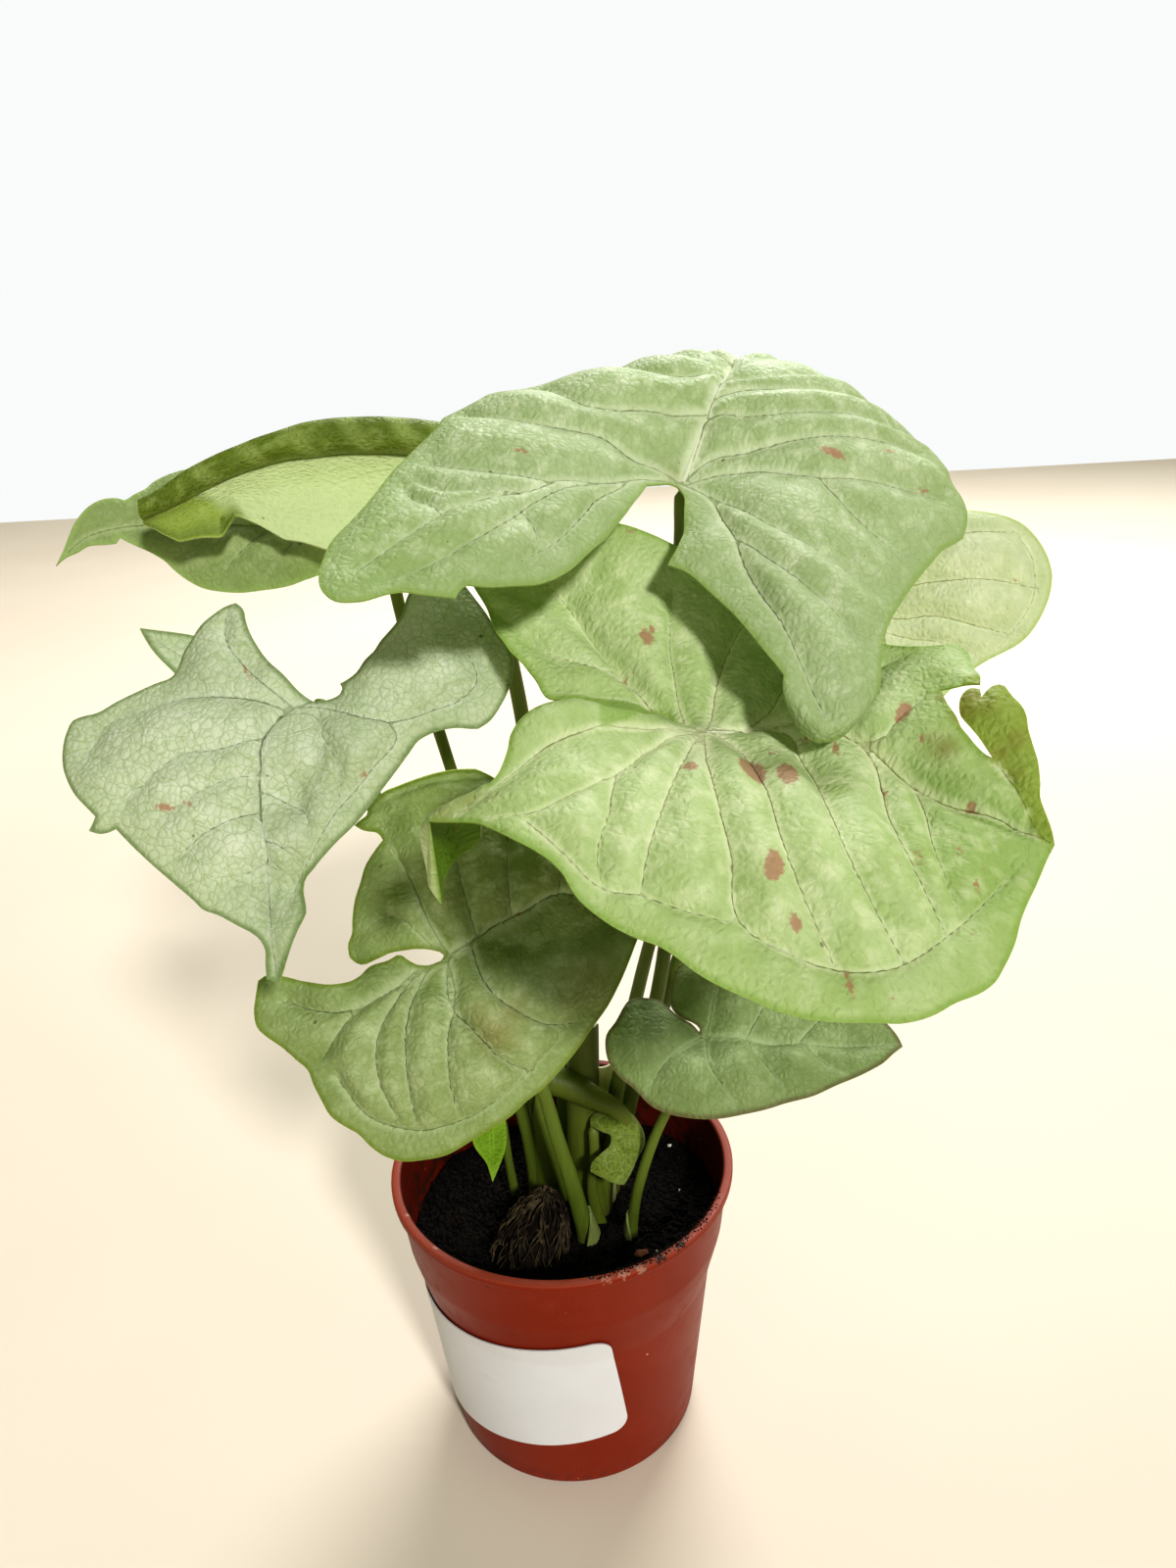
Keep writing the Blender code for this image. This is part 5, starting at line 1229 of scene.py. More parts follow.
def scatter_tree():
    """Geometry Nodes that scatter grains over a surface, where a mask lets them."""
    tree = bpy.data.node_groups.new("scatter grains", "GeometryNodeTree")
    for label, kind in (("Geometry", "Geometry"), ("Grain", "Object"), ("Density", "Float"), ("Smallest", "Float"),
                        ("Largest", "Float"), ("Seed", "Int"), ("Finish", "Material")):
        tree.interface.new_socket(label, in_out="INPUT", socket_type="NodeSocket" + kind)
    tree.interface.new_socket("Geometry", in_out="OUTPUT", socket_type="NodeSocketGeometry")
    given = node(tree, "NodeGroupInput").outputs
    mask = node(tree, "GeometryNodeInputNamedAttribute", {"Name": "scatter"}, data_type="FLOAT")
    thin = times(tree, given["Density"], mask.outputs["Attribute"])
    spots = node(tree, "GeometryNodeDistributePointsOnFaces",
                 {"Mesh": given["Geometry"], "Density": thin, "Seed": given["Seed"]})
    turn = node(tree, "FunctionNodeRandomValue", {"Max": (6.28, 6.28, 6.28), "Seed": given["Seed"]},
                data_type="FLOAT_VECTOR")
    size = node(tree, "FunctionNodeRandomValue", {2: given["Smallest"], 3: given["Largest"], "Seed": given["Seed"]},
                data_type="FLOAT")
    grain = node(tree, "GeometryNodeObjectInfo", {"Object": given["Grain"]})
    placed = node(tree, "GeometryNodeInstanceOnPoints", {
        "Points": spots.outputs["Points"], "Instance": grain.outputs["Geometry"], "Rotation": turn.outputs["Value"],
        "Scale": size.outputs[1]})
    real = node(tree, "GeometryNodeRealizeInstances", {"Geometry": placed.outputs["Instances"]})
    painted = node(tree, "GeometryNodeSetMaterial", {"Geometry": real.outputs["Geometry"], "Material": given["Finish"]})
    node(tree, "NodeGroupOutput", {"Geometry": painted.outputs["Geometry"]})
    return tree


def scatter(name, tree, surface, grain, material, density, smallest, largest, seed):
    """Scatters a grain over a hidden surface and keeps only the grains, as one plain piece."""
    modifier = surface.modifiers.new("scatter", "NODES")
    modifier.node_group = tree
    values = {"Grain": grain, "Density": density, "Smallest": smallest, "Largest": largest, "Seed": seed,
              "Finish": material}
    for item in tree.interface.items_tree:
        if item.in_out == "INPUT" and item.name in values:
            modifier[item.identifier] = values[item.name]
    surface.name = name
    plain_mesh(surface, name).shade_smooth()
    finish_piece(surface, (), "peat")


def patch(places, faces, weights):
    """A surface that grains are scattered over, with a weight for each place."""
    surface = linked("patch", new_mesh("patch", places, faces))
    keep_values(surface.data, "scatter", weights)
    return surface


def soil_patch():
    """The soil's surface as a patch."""
    rings, sides, reach = 24, 96, 30.8
    places = [(x, y, soil_height(x, y)) for ring in range(rings + 1) for x, y in circle(reach * ring / rings, sides)]
    return patch(places, ring_faces(rings + 1, sides), [1.0] * len(places))


def clump_place(turn, rise):
    """A place on the root clump: turn goes round it and rise goes from 0 at its foot to 1 at its top."""
    angle = math.pi / 2 * rise
    lean = math.sin(angle)
    x = CLUMP_CENTRE[0] + CLUMP_LEAN[0] * lean + CLUMP_RADII[0] * math.cos(angle) * math.cos(turn)
    y = CLUMP_CENTRE[1] + CLUMP_LEAN[1] * lean + CLUMP_RADII[1] * math.cos(angle) * math.sin(turn)
    return Vector((x, y, CLUMP_CENTRE[2] + CLUMP_RADII[2] * math.sin(angle)))


def make_clump(core_material, root_material):
    """A crumbly core with old roots that run down over it and spread on the soil."""
    sides, levels = 64, 32
    places = []
    middle = Vector(CLUMP_CENTRE)
    for level in range(levels):
        for i in range(sides):
            place = clump_place(2 * math.pi * i / sides, level / levels)
            bump = 0.9 * noise(place / 2.2) + 0.5 * noise(place / 0.9) - 0.5
            places.append(place + (place - middle).normalized() * bump)
    add_piece("clump_core", places, tube_faces(levels, sides), core_material, ["root_clump"], "roots",
              smooth_angle=80)
    chance = np.random.default_rng(7)
    roots = []
    for strand in range(110):
        turn = chance.uniform(0, 2 * math.pi)
        start, length = chance.uniform(0.25, 0.98), chance.uniform(0.25, 0.7)
        drift = chance.uniform(-0.9, 0.9)
        route = []
        for k in range(7):
            share = k / 6
            rise = start - length * share
            if rise < 0:
                break
            place = clump_place(turn + drift * share, rise)
            out = (place - middle).normalized()
            route.append(place + out * (0.25 + 0.35 * chance.random()) + Vector(chance.normal(0, 0.25, 3)))
        if len(route) < 3:
            continue
        line = smooth_line(route, 0.8)
        thick = chance.uniform(0.12, 0.34)
        roots.append(sweep(line, [thick * (1 - 0.5 * i / len(line)) for i in range(len(line))], 5))
    add_piece("clump_roots", *joined(roots), root_material, (), "roots", smooth_angle=80)


def make_hairs(material):
    """Fine pale roots that lie on the soil."""
    hairs = []
    for route in HAIRS:
        line = smooth_line([(x, y, soil_height(x, y) + lift) for x, y, lift in route], 0.5)
        hairs.append(sweep(line, [HAIR_RADIUS * (1 - 0.6 * i / len(line)) for i in range(len(line))], 6))
    add_piece("root_hairs", *joined(hairs), material, (), "roots", smooth_angle=80)


def make_chip(name, centre, size, turn, material, seed):
    """A flat bark chip or a perlite grain, broken off unevenly."""
    shape = bmesh.new()
    bmesh.ops.create_icosphere(shape, subdivisions=3, radius=0.5)
    for vert in shape.verts:
        place = vert.co.copy()
        vert.co = place * (1 + 0.5 * noise(place * 2.2 + Vector((seed, 0, 0))) + 0.15 * noise(place * 6))
        vert.co *= Vector(size)
    bmesh.ops.rotate(shape, verts=shape.verts, matrix=Euler([math.radians(a) for a in turn]).to_matrix())
    places = [Vector(centre) + vert.co for vert in shape.verts]
    faces = [tuple(vert.index for vert in face.verts) for face in shape.faces]
    shape.free()
    add_piece(name, places, faces, material, (), "roots", smooth_angle=30)


# Finishes


def paint(red, green, blue):
    """A colour as a screen shows it, 0 to 255, turned into the linear values that Blender works in."""
    linear = [(v / 255 / 12.92) if v <= 10 else ((v / 255 + 0.055) / 1.055) ** 2.4 for v in (red, green, blue)]
    return (*linear, 1.0)


def feed(tree, socket, value):
    """Links a socket to another, or sets it to a plain value."""
    if isinstance(value, bpy.types.NodeSocket):
        tree.links.new(value, socket)
    else:
        socket.default_value = value


def node(tree, kind, links=None, **settings):
    """A new node. links maps its inputs to sockets or to plain values."""
    made = tree.nodes.new(kind)
    for key, value in settings.items():
        setattr(made, key, value)
    for key, value in (links or {}).items():
        feed(tree, made.inputs[key], value)
    return made


def calc(tree, operation, a, b=0.0):
    """A sum of two numbers."""
    return node(tree, "ShaderNodeMath", {0: a, 1: b}, operation=operation).outputs[0]


def times(tree, a, b):
    return calc(tree, "MULTIPLY", a, b)


def plus(tree, a, b):
    return calc(tree, "ADD", a, b)


def ramp(tree, value, low, high, start=0.0, end=1.0):
    """Takes low to start and high to end in an eased step, and holds there."""
    return node(tree, "ShaderNodeMapRange", {0: value, 1: low, 2: high, 3: start, 4: end},
                interpolation_type="SMOOTHSTEP").outputs[0]


def blend(tree, share, a, b):
    """The colour a turned into b by a share."""
    return node(tree, "ShaderNodeMix", {0: share, 6: a, 7: b}, data_type="RGBA").outputs[2]


def tint(tree, colour, mask, share, shade):
    """The colour turned into a shade where a mask is, by a share of it."""
    return blend(tree, times(tree, mask, share), colour, shade)


def new_effect(name, inputs, outputs):
    """An empty node group with named sockets, and its two end nodes."""
    tree = bpy.data.node_groups.new(name, "ShaderNodeTree")
    for label, kind, value in inputs:
        socket = tree.interface.new_socket(label, in_out="INPUT", socket_type="NodeSocket" + kind)
        if value is not None:
            socket.default_value = value
    for label in outputs:
        tree.interface.new_socket(label, in_out="OUTPUT", socket_type="NodeSocketFloat")
    return tree, tree.nodes.new("NodeGroupInput").outputs, tree.nodes.new("NodeGroupOutput").inputs


def mottle_effect():
    """Cloudy patches between 0 and 1."""
    tree, given, result = new_effect("mottle", [("Vector", "Vector", None), ("Scale", "Float", 200.0),
                                                ("Low", "Float", 0.4), ("High", "Float", 0.6)], ["Mask"])
    cloud = node(tree, "ShaderNodeTexNoise", {"Vector": given["Vector"], "Scale": given["Scale"], "Detail": 4.0})
    feed(tree, result["Mask"], ramp(tree, cloud.outputs[0], given["Low"], given["High"]))
    return tree


def leaf_net_effect():
    """The finest veins of a leaf, as irregular cells that are pale along their edges."""
    tree, given, result = new_effect("leaf net", [("Vector", "Vector", None), ("Cells", "Float", 80.0),
                                                  ("Width", "Float", 0.1)], ["Line", "Dome"])
    warp = node(tree, "ShaderNodeTexNoise", {"Vector": given["Vector"], "Scale": 55.0, "Detail": 2.0})
    shift = node(tree, "ShaderNodeVectorMath", {0: warp.outputs["Color"], 1: (0.012, 0.012, 0.012)},
                 operation="MULTIPLY")
    bent = node(tree, "ShaderNodeVectorMath", {0: given["Vector"], 1: shift.outputs[0]}, operation="ADD")
    cells = node(tree, "ShaderNodeTexVoronoi", {"Vector": bent.outputs[0], "Scale": given["Cells"]},
                 feature="DISTANCE_TO_EDGE")
    line = calc(tree, "DIVIDE", cells.outputs["Distance"], given["Width"])
    feed(tree, result["Line"], ramp(tree, line, 0.0, 1.0, 1.0, 0.0))
    feed(tree, result["Dome"], ramp(tree, cells.outputs["Distance"], 0.0, 0.4))
    return tree


def specks_effect():
    """Scattered dots of uneven size."""
    tree, given, result = new_effect("specks", [("Vector", "Vector", None), ("Scale", "Float", 300.0),
                                                ("Size", "Float", 0.2), ("Share", "Float", 0.2)], ["Mask"])
    spots = node(tree, "ShaderNodeTexVoronoi", {"Vector": given["Vector"], "Scale": given["Scale"]})
    chance = node(tree, "ShaderNodeSeparateColor", {0: spots.outputs["Color"]})
    reach = times(tree, given["Size"], chance.outputs[0])
    within = ramp(tree, calc(tree, "SUBTRACT", spots.outputs["Distance"], reach), -0.04, 0.02, 1.0, 0.0)
    feed(tree, result["Mask"], times(tree, within, calc(tree, "LESS_THAN", chance.outputs[1], given["Share"])))
    return tree


def mark_effect():
    """One worn or dirty mark round a place, with a ragged edge."""
    tree, given, result = new_effect("mark", [("Vector", "Vector", None), ("Place", "Vector", None),
                                              ("Reach", "Float", 0.001)], ["Mask"])
    ragged = node(tree, "ShaderNodeTexNoise", {"Vector": given["Vector"], "Scale": 1500.0, "Detail": 3.0})
    away = node(tree, "ShaderNodeVectorMath", {0: given["Vector"], 1: given["Place"]}, operation="DISTANCE")
    share = calc(tree, "DIVIDE", away.outputs["Value"], given["Reach"])
    rough = plus(tree, share, times(tree, ragged.outputs[0], 2.2))
    feed(tree, result["Mask"], ramp(tree, rough, 1.35, 1.55, 1.0, 0.0))
    return tree


def use(tree, effect, links):
    """An effect's outputs, fed with the given values."""
    made = node(tree, "ShaderNodeGroup", node_tree=effect)
    for key, value in links.items():
        feed(tree, made.inputs[key], value)
    return made.outputs


def clouds(tree, places, scale, low, high):
    """The share of cloudy patches at each place."""
    return use(tree, mottle, {"Vector": places, "Scale": scale, "Low": low, "High": high})["Mask"]


def dots(tree, places, scale, size, share):
    """The share of scattered dots at each place."""
    return use(tree, specks, {"Vector": places, "Scale": scale, "Size": size, "Share": share})["Mask"]


def grain_noise(tree, places, scale, detail=3.0):
    """Fine even noise."""
    return node(tree, "ShaderNodeTexNoise", {"Vector": places, "Scale": scale, "Detail": detail}).outputs[0]


def new_finish(name, **settings):
    """A material, its tree and its shader. Settings are plain values on the shader's own sockets."""
    material = bpy.data.materials.new(name)
    material.use_nodes = True
    shader = material.node_tree.nodes["Principled BSDF"]
    for key, value in settings.items():
        shader.inputs[key.replace("_", " ")].default_value = value
    return material, material.node_tree, shader


def set_bump(tree, shader, height, distance):
    """Fine relief, with its height scaled to a distance in metres."""
    bump = node(tree, "ShaderNodeBump", {"Height": height, "Distance": distance, "Strength": 1.0})
    feed(tree, shader.inputs["Normal"], bump.outputs[0])


def kept(tree, name):
    """A number that the piece keeps for each place."""
    return node(tree, "ShaderNodeAttribute", attribute_name=name).outputs["Fac"]


def object_places(tree):
    """Places in the piece's own frame, in metres."""
    return node(tree, "ShaderNodeTexCoord").outputs["Object"]


LeafShades = namedtuple("LeafShades", "face deep pale crease edge under net")


def leaf_finish(name, shades, roughness, glow=0.75, crease=0.55, net=0.35, seed=0.0, ridge=0.0):
    """A leaf's skin. shades are its colours in the order of LeafShades; the numbers say how strong its pale
    glow beside the veins, its dark vein lines, its fine net and its raised midrib are."""
    material, tree, shader = new_finish(name, Specular_IOR_Level=0.26, Subsurface_Weight=0.22,
                                        Subsurface_Scale=0.0016, Subsurface_Radius=(0.8, 1.0, 0.35))
    look = LeafShades(*[paint(*shade) for shade in shades])
    plan = node(tree, "ShaderNodeUVMap", uv_map="plan").outputs[0]
    plan = node(tree, "ShaderNodeMapping", {"Vector": plan, "Location": (seed, seed * 0.7, 0)}).outputs[0]
    margin, rib, rank = (kept(tree, layer) for layer in ("margin", "rib", "rank"))
    patches = clouds(tree, plan, scale=14.0, low=0.35, high=0.68)
    fine = clouds(tree, plan, scale=120.0, low=0.3, high=0.75)
    milk = clouds(tree, plan, scale=34.0, low=0.45, high=0.7)
    small = use(tree, leaf_net, {"Vector": plan, "Cells": 84.0, "Width": 0.11})
    coarse = use(tree, leaf_net, {"Vector": plan, "Cells": 27.0, "Width": 0.04})
    # The blade between its veins
    colour = tint(tree, look.face, patches, 0.6, look.deep)
    # Greener zones, which on blade_low and blade_left are partly painted shade
    colour = tint(tree, colour, kept(tree, "green"), 0.9, look.edge)
    colour = tint(tree, colour, fine, 0.28, look.deep)
    colour = tint(tree, colour, milk, 0.4, look.pale)
    colour = blend(tree, ramp(tree, margin, 1.0, 9.0, 0.55, 0.0), colour, look.deep)
    colour = tint(tree, colour, small["Line"], net, look.net)
    colour = tint(tree, colour, coarse["Line"], 0.9 * net, look.net)
    # Veins: a pale glow beside each, a dark line in its crease, and the raised midrib
    colour = tint(tree, colour, ramp(tree, rib, 0.5, 3.2, glow, 0.0), rank, look.pale)
    line = ramp(tree, rib, 0.12, 0.5, 1.0, 0.0)
    dark = times(tree, crease, ramp(tree, rank, 0.7, 1.0, 1.0, 1.0 - ridge))
    colour = tint(tree, colour, line, dark, look.crease)
    raised = times(tree, ramp(tree, rank, 0.7, 1.0, 0.0, ridge), ramp(tree, rib, 0.5, 1.0, 1.0, 0.0))
    colour = tint(tree, colour, raised, 0.8, look.pale)
    # Margin, painted shade on the torn flap, underside and wear
    colour = blend(tree, ramp(tree, margin, 0.15, 1.1, 0.75, 0.0), colour, look.edge)
    # The torn flap's painted shade: a darker, uneven olive
    olive = tint(tree, paint(146, 162, 70), fine, 0.6, paint(120, 136, 34))
    colour = tint(tree, colour, kept(tree, "torn"), 0.85, olive)
    colour = blend(tree, kept(tree, "under"), colour, look.under)
    colour = tint(tree, colour, kept(tree, "stain"), 0.75, paint(128, 112, 44))
    ragged = grain_noise(tree, plan, 160.0)
    worn = plus(tree, kept(tree, "fleck"), times(tree, calc(tree, "SUBTRACT", ragged, 0.5), 1.3))
    colour = blend(tree, ramp(tree, worn, -0.25, 0.15, 0.8, 0.0), colour, paint(166, 116, 92))
    colour = tint(tree, colour, dots(tree, plan, scale=70.0, size=0.11, share=0.14), 0.6, paint(104, 98, 56))
    colour = tint(tree, colour, dots(tree, plan, scale=42.0, size=0.17, share=0.05), 0.7, paint(98, 92, 48))
    feed(tree, shader.inputs["Base Color"], colour)
    feed(tree, shader.inputs["Roughness"], plus(tree, roughness, times(tree, patches, 0.12)))
    height = plus(tree, times(tree, small["Dome"], 0.5), times(tree, coarse["Dome"], 0.3))
    height = calc(tree, "SUBTRACT", height, times(tree, line, 0.6))
    height = plus(tree, plus(tree, height, times(tree, raised, 1.6)), times(tree, ragged, 0.6))
    set_bump(tree, shader, height, 0.00022)
    return material


def stalk_finish(name, young, old, foot):
    """A smooth green stalk with long streaks, browner at its foot."""
    material, tree, shader = new_finish(name, Roughness=0.5, Specular_IOR_Level=0.28, Subsurface_Weight=0.15,
                                        Subsurface_Scale=0.0015, Subsurface_Radius=(0.8, 1.0, 0.35))
    places = object_places(tree)
    young, old, foot = (paint(*shade) for shade in (young, old, foot))
    long_ways = node(tree, "ShaderNodeMapping", {"Vector": places, "Scale": (1.0, 1.0, 0.08)}).outputs[0]
    streaks = clouds(tree, long_ways, scale=900.0, low=0.35, high=0.68)
    colour = blend(tree, kept(tree, "height"), old, young)
    colour = tint(tree, colour, streaks, 0.35, young)
    colour = tint(tree, colour, clouds(tree, places, scale=90.0, low=0.4, high=0.65), 0.25, old)
    colour = blend(tree, ramp(tree, kept(tree, "height"), 0.0, 0.12, 0.75, 0.0), colour, foot)
    colour = tint(tree, colour, dots(tree, places, scale=500.0, size=0.16, share=0.12), 0.5, paint(90, 70, 40))
    feed(tree, shader.inputs["Base Color"], colour)
    set_bump(tree, shader, streaks, 0.00006)
    return material


def pot_finish():
    """Matt terracotta-red plastic with dust, fine moulding grain, soil stains and pale scuffs."""
    material, tree, shader = new_finish("terracotta plastic", Specular_IOR_Level=0.12)
    places = object_places(tree)
    x, y, z = node(tree, "ShaderNodeSeparateXYZ", {0: places}).outputs
    patches = clouds(tree, places, scale=45.0, low=0.35, high=0.7)
    dust = clouds(tree, places, scale=260.0, low=0.5, high=0.8)
    stain = clouds(tree, places, scale=420.0, low=0.45, high=0.6)
    colour = tint(tree, paint(126, 38, 14), patches, 0.35, paint(112, 31, 10))
    colour = tint(tree, colour, dust, 0.10, paint(158, 82, 60))
    colour = tint(tree, colour, ramp(tree, z, 0.0, 0.005, 0.5, 0.0), stain, paint(70, 35, 25))
    # The inside of the collar is darker as painted shade, and soiled; the top of the lip is paler as a painted
    # highlight
    flat = node(tree, "ShaderNodeCombineXYZ", {0: x, 1: y}).outputs[0]
    facing = node(tree, "ShaderNodeNewGeometry").outputs["Normal"]
    away = node(tree, "ShaderNodeVectorMath", {0: flat, 1: facing}, operation="DOT_PRODUCT").outputs["Value"]
    # Painted shade on the inward-facing walls above the soil
    within = times(tree, calc(tree, "LESS_THAN", away, -0.01), ramp(tree, z, 0.044, 0.047))
    colour = tint(tree, colour, within, 0.8, paint(74, 18, 8))
    # Painted highlight: the top of the lip is paler
    colour = blend(tree, ramp(tree, z, 0.0606, 0.0610, 0.0, 0.22), colour, paint(180, 104, 80))
    soiled = times(tree, within, ramp(tree, z, 0.050, 0.058, 0.9, 0.25))
    colour = tint(tree, colour, soiled, stain, paint(45, 28, 20))
    for marks, share, shade in ((DARK_MARKS, 1.0, paint(60, 34, 26)), (PALE_MARKS, 0.4, paint(196, 156, 136))):
        for *place, reach in marks:
            spot = use(tree, mark, {"Vector": places, "Place": Vector(place) * MM, "Reach": reach * MM})["Mask"]
            colour = tint(tree, colour, spot, share, shade)
    colour = tint(tree, colour, dots(tree, places, scale=420.0, size=0.13, share=0.10), 0.6, paint(210, 175, 155))
    colour = tint(tree, colour, dots(tree, places, scale=330.0, size=0.12, share=0.06), 0.7, paint(60, 34, 26))
    feed(tree, shader.inputs["Base Color"], colour)
    gloss = plus(tree, 0.36, times(tree, patches, 0.10))
    feed(tree, shader.inputs["Roughness"], plus(tree, gloss, times(tree, dust, 0.15)))
    set_bump(tree, shader, grain_noise(tree, places, 2600.0), 0.00005)
    return material


def label_finish():
    """White matt paper with fine fibres, soft greyer patches and a few specks."""
    material, tree, shader = new_finish("label paper", Specular_IOR_Level=0.35)
    places = object_places(tree)
    fibres = grain_noise(tree, places, 1800.0, detail=5.0)
    patches = clouds(tree, places, scale=70.0, low=0.35, high=0.7)
    colour = tint(tree, paint(214, 214, 215), patches, 0.35, paint(202, 200, 200))
    colour = tint(tree, colour, fibres, 0.12, paint(190, 182, 174))
    colour = tint(tree, colour, dots(tree, places, scale=200.0, size=0.12, share=0.05), 0.8, paint(120, 84, 66))
    feed(tree, shader.inputs["Base Color"], colour)
    feed(tree, shader.inputs["Roughness"], plus(tree, 0.5, times(tree, fibres, 0.2)))
    set_bump(tree, shader, fibres, 0.00003)
    return material


def earth_finish(name, dark, light, roughness=0.92, scale=700.0, relief=0.0004):
    """Peat, bark or old roots: two tones broken up at two scales."""
    material, tree, shader = new_finish(name, Roughness=roughness, Specular_IOR_Level=0.12)
    places = object_places(tree)
    patches = clouds(tree, places, scale=scale * 0.25, low=0.4, high=0.65)
    fine = clouds(tree, places, scale=scale, low=0.45, high=0.75)
    share = plus(tree, times(tree, patches, 0.45), times(tree, fine, 0.55))
    feed(tree, shader.inputs["Base Color"], blend(tree, share, paint(*dark), paint(*light)))
    set_bump(tree, shader, share, relief)
    return material


def floor_finish():
    """Pale, matt and nearly even."""
    material, tree, shader = new_finish("studio floor", Roughness=0.7)
    cloud = clouds(tree, object_places(tree), scale=3.0, low=0.3, high=0.7)
    feed(tree, shader.inputs["Base Color"], blend(tree, cloud, paint(226, 215, 198), paint(221, 208, 190)))
    return material


mottle = mottle_effect()
leaf_net = leaf_net_effect()
specks = specks_effect()
mark = mark_effect()


# Build


def build_leaves():
    """Each leaf with its own skin, and the rolled leaf."""
    top = leaf_finish("milky green blade", [
        (176, 191, 146), (148, 168, 112), (222, 229, 196), (112, 128, 74), (136, 160, 84), (150, 178, 92),
        (132, 152, 96)], 0.56, crease=0.6, net=0.32, ridge=1.0)
    right = leaf_finish("cream veined blade", [
        (194, 209, 158), (156, 178, 108), (230, 235, 196), (158, 140, 100), (132, 162, 70), (84, 116, 14),
        (150, 172, 104)], 0.54, glow=1.0, crease=0.35, net=0.14, seed=0.3, ridge=0.7)
    grey = leaf_finish("grey green blade", [
        (148, 162, 108), (126, 142, 84), (184, 194, 152), (104, 122, 74), (140, 162, 96), (150, 180, 95),
        (112, 130, 76)], 0.58, crease=0.4, net=0.3, seed=0.9)
    rolled = leaf_finish("rolled blade", [
        (100, 118, 28), (80, 98, 14), (160, 176, 100), (90, 116, 40), (158, 176, 82), (190, 204, 150),
        (122, 140, 56)], 0.52, glow=0.5, crease=0.0, net=0.2, seed=1.3)
    left = leaf_finish("pale netted blade", [
        (203, 211, 184), (176, 188, 150), (218, 224, 204), (112, 122, 78), (96, 118, 60), (160, 190, 100),
        (140, 158, 108)], 0.56, glow=0.4, crease=0.55, net=0.48, seed=1.9)
    low = leaf_finish("olive blade", [
        (160, 173, 122), (126, 142, 80), (200, 210, 170), (90, 106, 52), (106, 124, 26), (140, 165, 62),
        (112, 130, 70)], 0.58, crease=0.35, net=0.3, seed=2.4)
    blue = leaf_finish("blue green blade", [
        (150, 166, 114), (118, 136, 80), (184, 198, 152), (92, 108, 62), (92, 80, 46), (125, 155, 75),
        (104, 122, 72)], 0.58, glow=1.0, crease=0.2, net=0.3, seed=3.1)
    pale = leaf_finish("pale yellow green blade", [
        (206, 213, 178), (180, 192, 146), (228, 232, 200), (176, 186, 132), (166, 186, 112), (190, 208, 130),
        (196, 208, 154)], 0.60, crease=0.4, net=0.2, seed=3.7)
    fresh = leaf_finish("young blade", [
        (118, 134, 52), (90, 106, 28), (160, 174, 98), (88, 104, 36), (104, 118, 44), (140, 160, 66),
        (150, 166, 80)], 0.50, seed=4.4)
    bright = leaf_finish("bright young blade", [
        (112, 146, 24), (92, 126, 18), (150, 182, 56), (74, 100, 20), (120, 156, 40), (120, 160, 36),
        (124, 160, 40)], 0.54, seed=5.0)
    coarse = 1.0
    large, small, young = 0.75 * coarse, 0.5 * coarse, 0.4 * coarse
    make_leaf(TOP, top, large, seed=1.0)
    make_leaf(RIGHT, right, large, rows=14, pillow=1.1, seed=2.0)
    make_leaf(UPPER_LEFT, grey, large, seed=3.0)
    make_leaf(LEFT, left, large, pillow=0.9, wave=0.45, seed=4.0)
    make_leaf(LOW, low, large, pillow=1.4, seed=5.0)
    make_leaf(LOW_RIGHT, blue, large, seed=6.0)
    make_leaf(BACK_RIGHT, pale, large, seed=7.0)
    make_leaf(LEFT_SMALL, left, small, rows=4, pillow=0.5, seed=8.0)
    make_leaf(NEW, fresh, young, rows=4, wave=1.5, seed=9.0)
    make_leaf(BUD, bright, young, rows=4, pillow=0.3, wave=0.2, seed=10.0)
    make_rolled_leaf(rolled)


def build_stems():
    """The stalks and the sheaths at their feet."""
    light = stalk_finish("light stalk", (106, 122, 46), (82, 98, 26), (72, 66, 30))
    shaded = stalk_finish("dark sheath", (98, 108, 38), (72, 86, 16), (66, 58, 28))
    pale = stalk_finish("pale sheath", (206, 204, 166), (160, 164, 112), (110, 104, 60))
    scale = stalk_finish("bud scale", (128, 138, 82), (108, 118, 62), (84, 84, 44))
    routes = {stem.name: stem.route for stem in STEMS}
    joints = {blade.name: Vector(blade.joint) for blade in BLADES}
    joints["blade_rolled"] = Vector(routes["stem_rolled"][-1])
    for stem in STEMS:
        make_stem(stem, joints[stem.name.replace("stem", "blade")], shaded if stem.name == "stem_new" else light)
    make_sheath("sheath_front", routes["stem_low"], scale, 3.1, opening=105, facing=190, start=0.02, end=0.13,
                flare=0.1)
    make_sheath("sheath_broad", routes["stem_upper_left"], light, 2.9, opening=160, facing=160, start=0.03, end=0.24)
    make_sheath("sheath_dark", [(6, -3, 49), (5, -3, 60), (5, -2.5, 74), (6, -1.5, 94)], shaded, 3.4, opening=120,
                facing=90, flare=0.4, taper=0.3)
    make_sheath("sheath_right", routes["stem_low_right"], scale, 1.7, opening=110, facing=340, start=0.03, end=0.18,
                flare=0.3)
    make_sheath("sheath_new", [(-3, -3.6, 84), (1.5, -4.6, 82.5), (7, -5.8, 80), (11, -6.8, 78.5), (14, -7.8, 75.5)],
                shaded, 2.9, opening=105, facing=90, flare=0.2)
    make_sheath("sheath_pale", [(7, 0.5, 50), (7.5, 0, 64), (8.3, 0, 75), (8.8, 0, 84)], pale, 3.4, opening=110,
                facing=90, flare=0.4, taper=0.25)


def build_pot():
    """The pot and its label."""
    make_pot(pot_finish())
    make_label(label_finish())


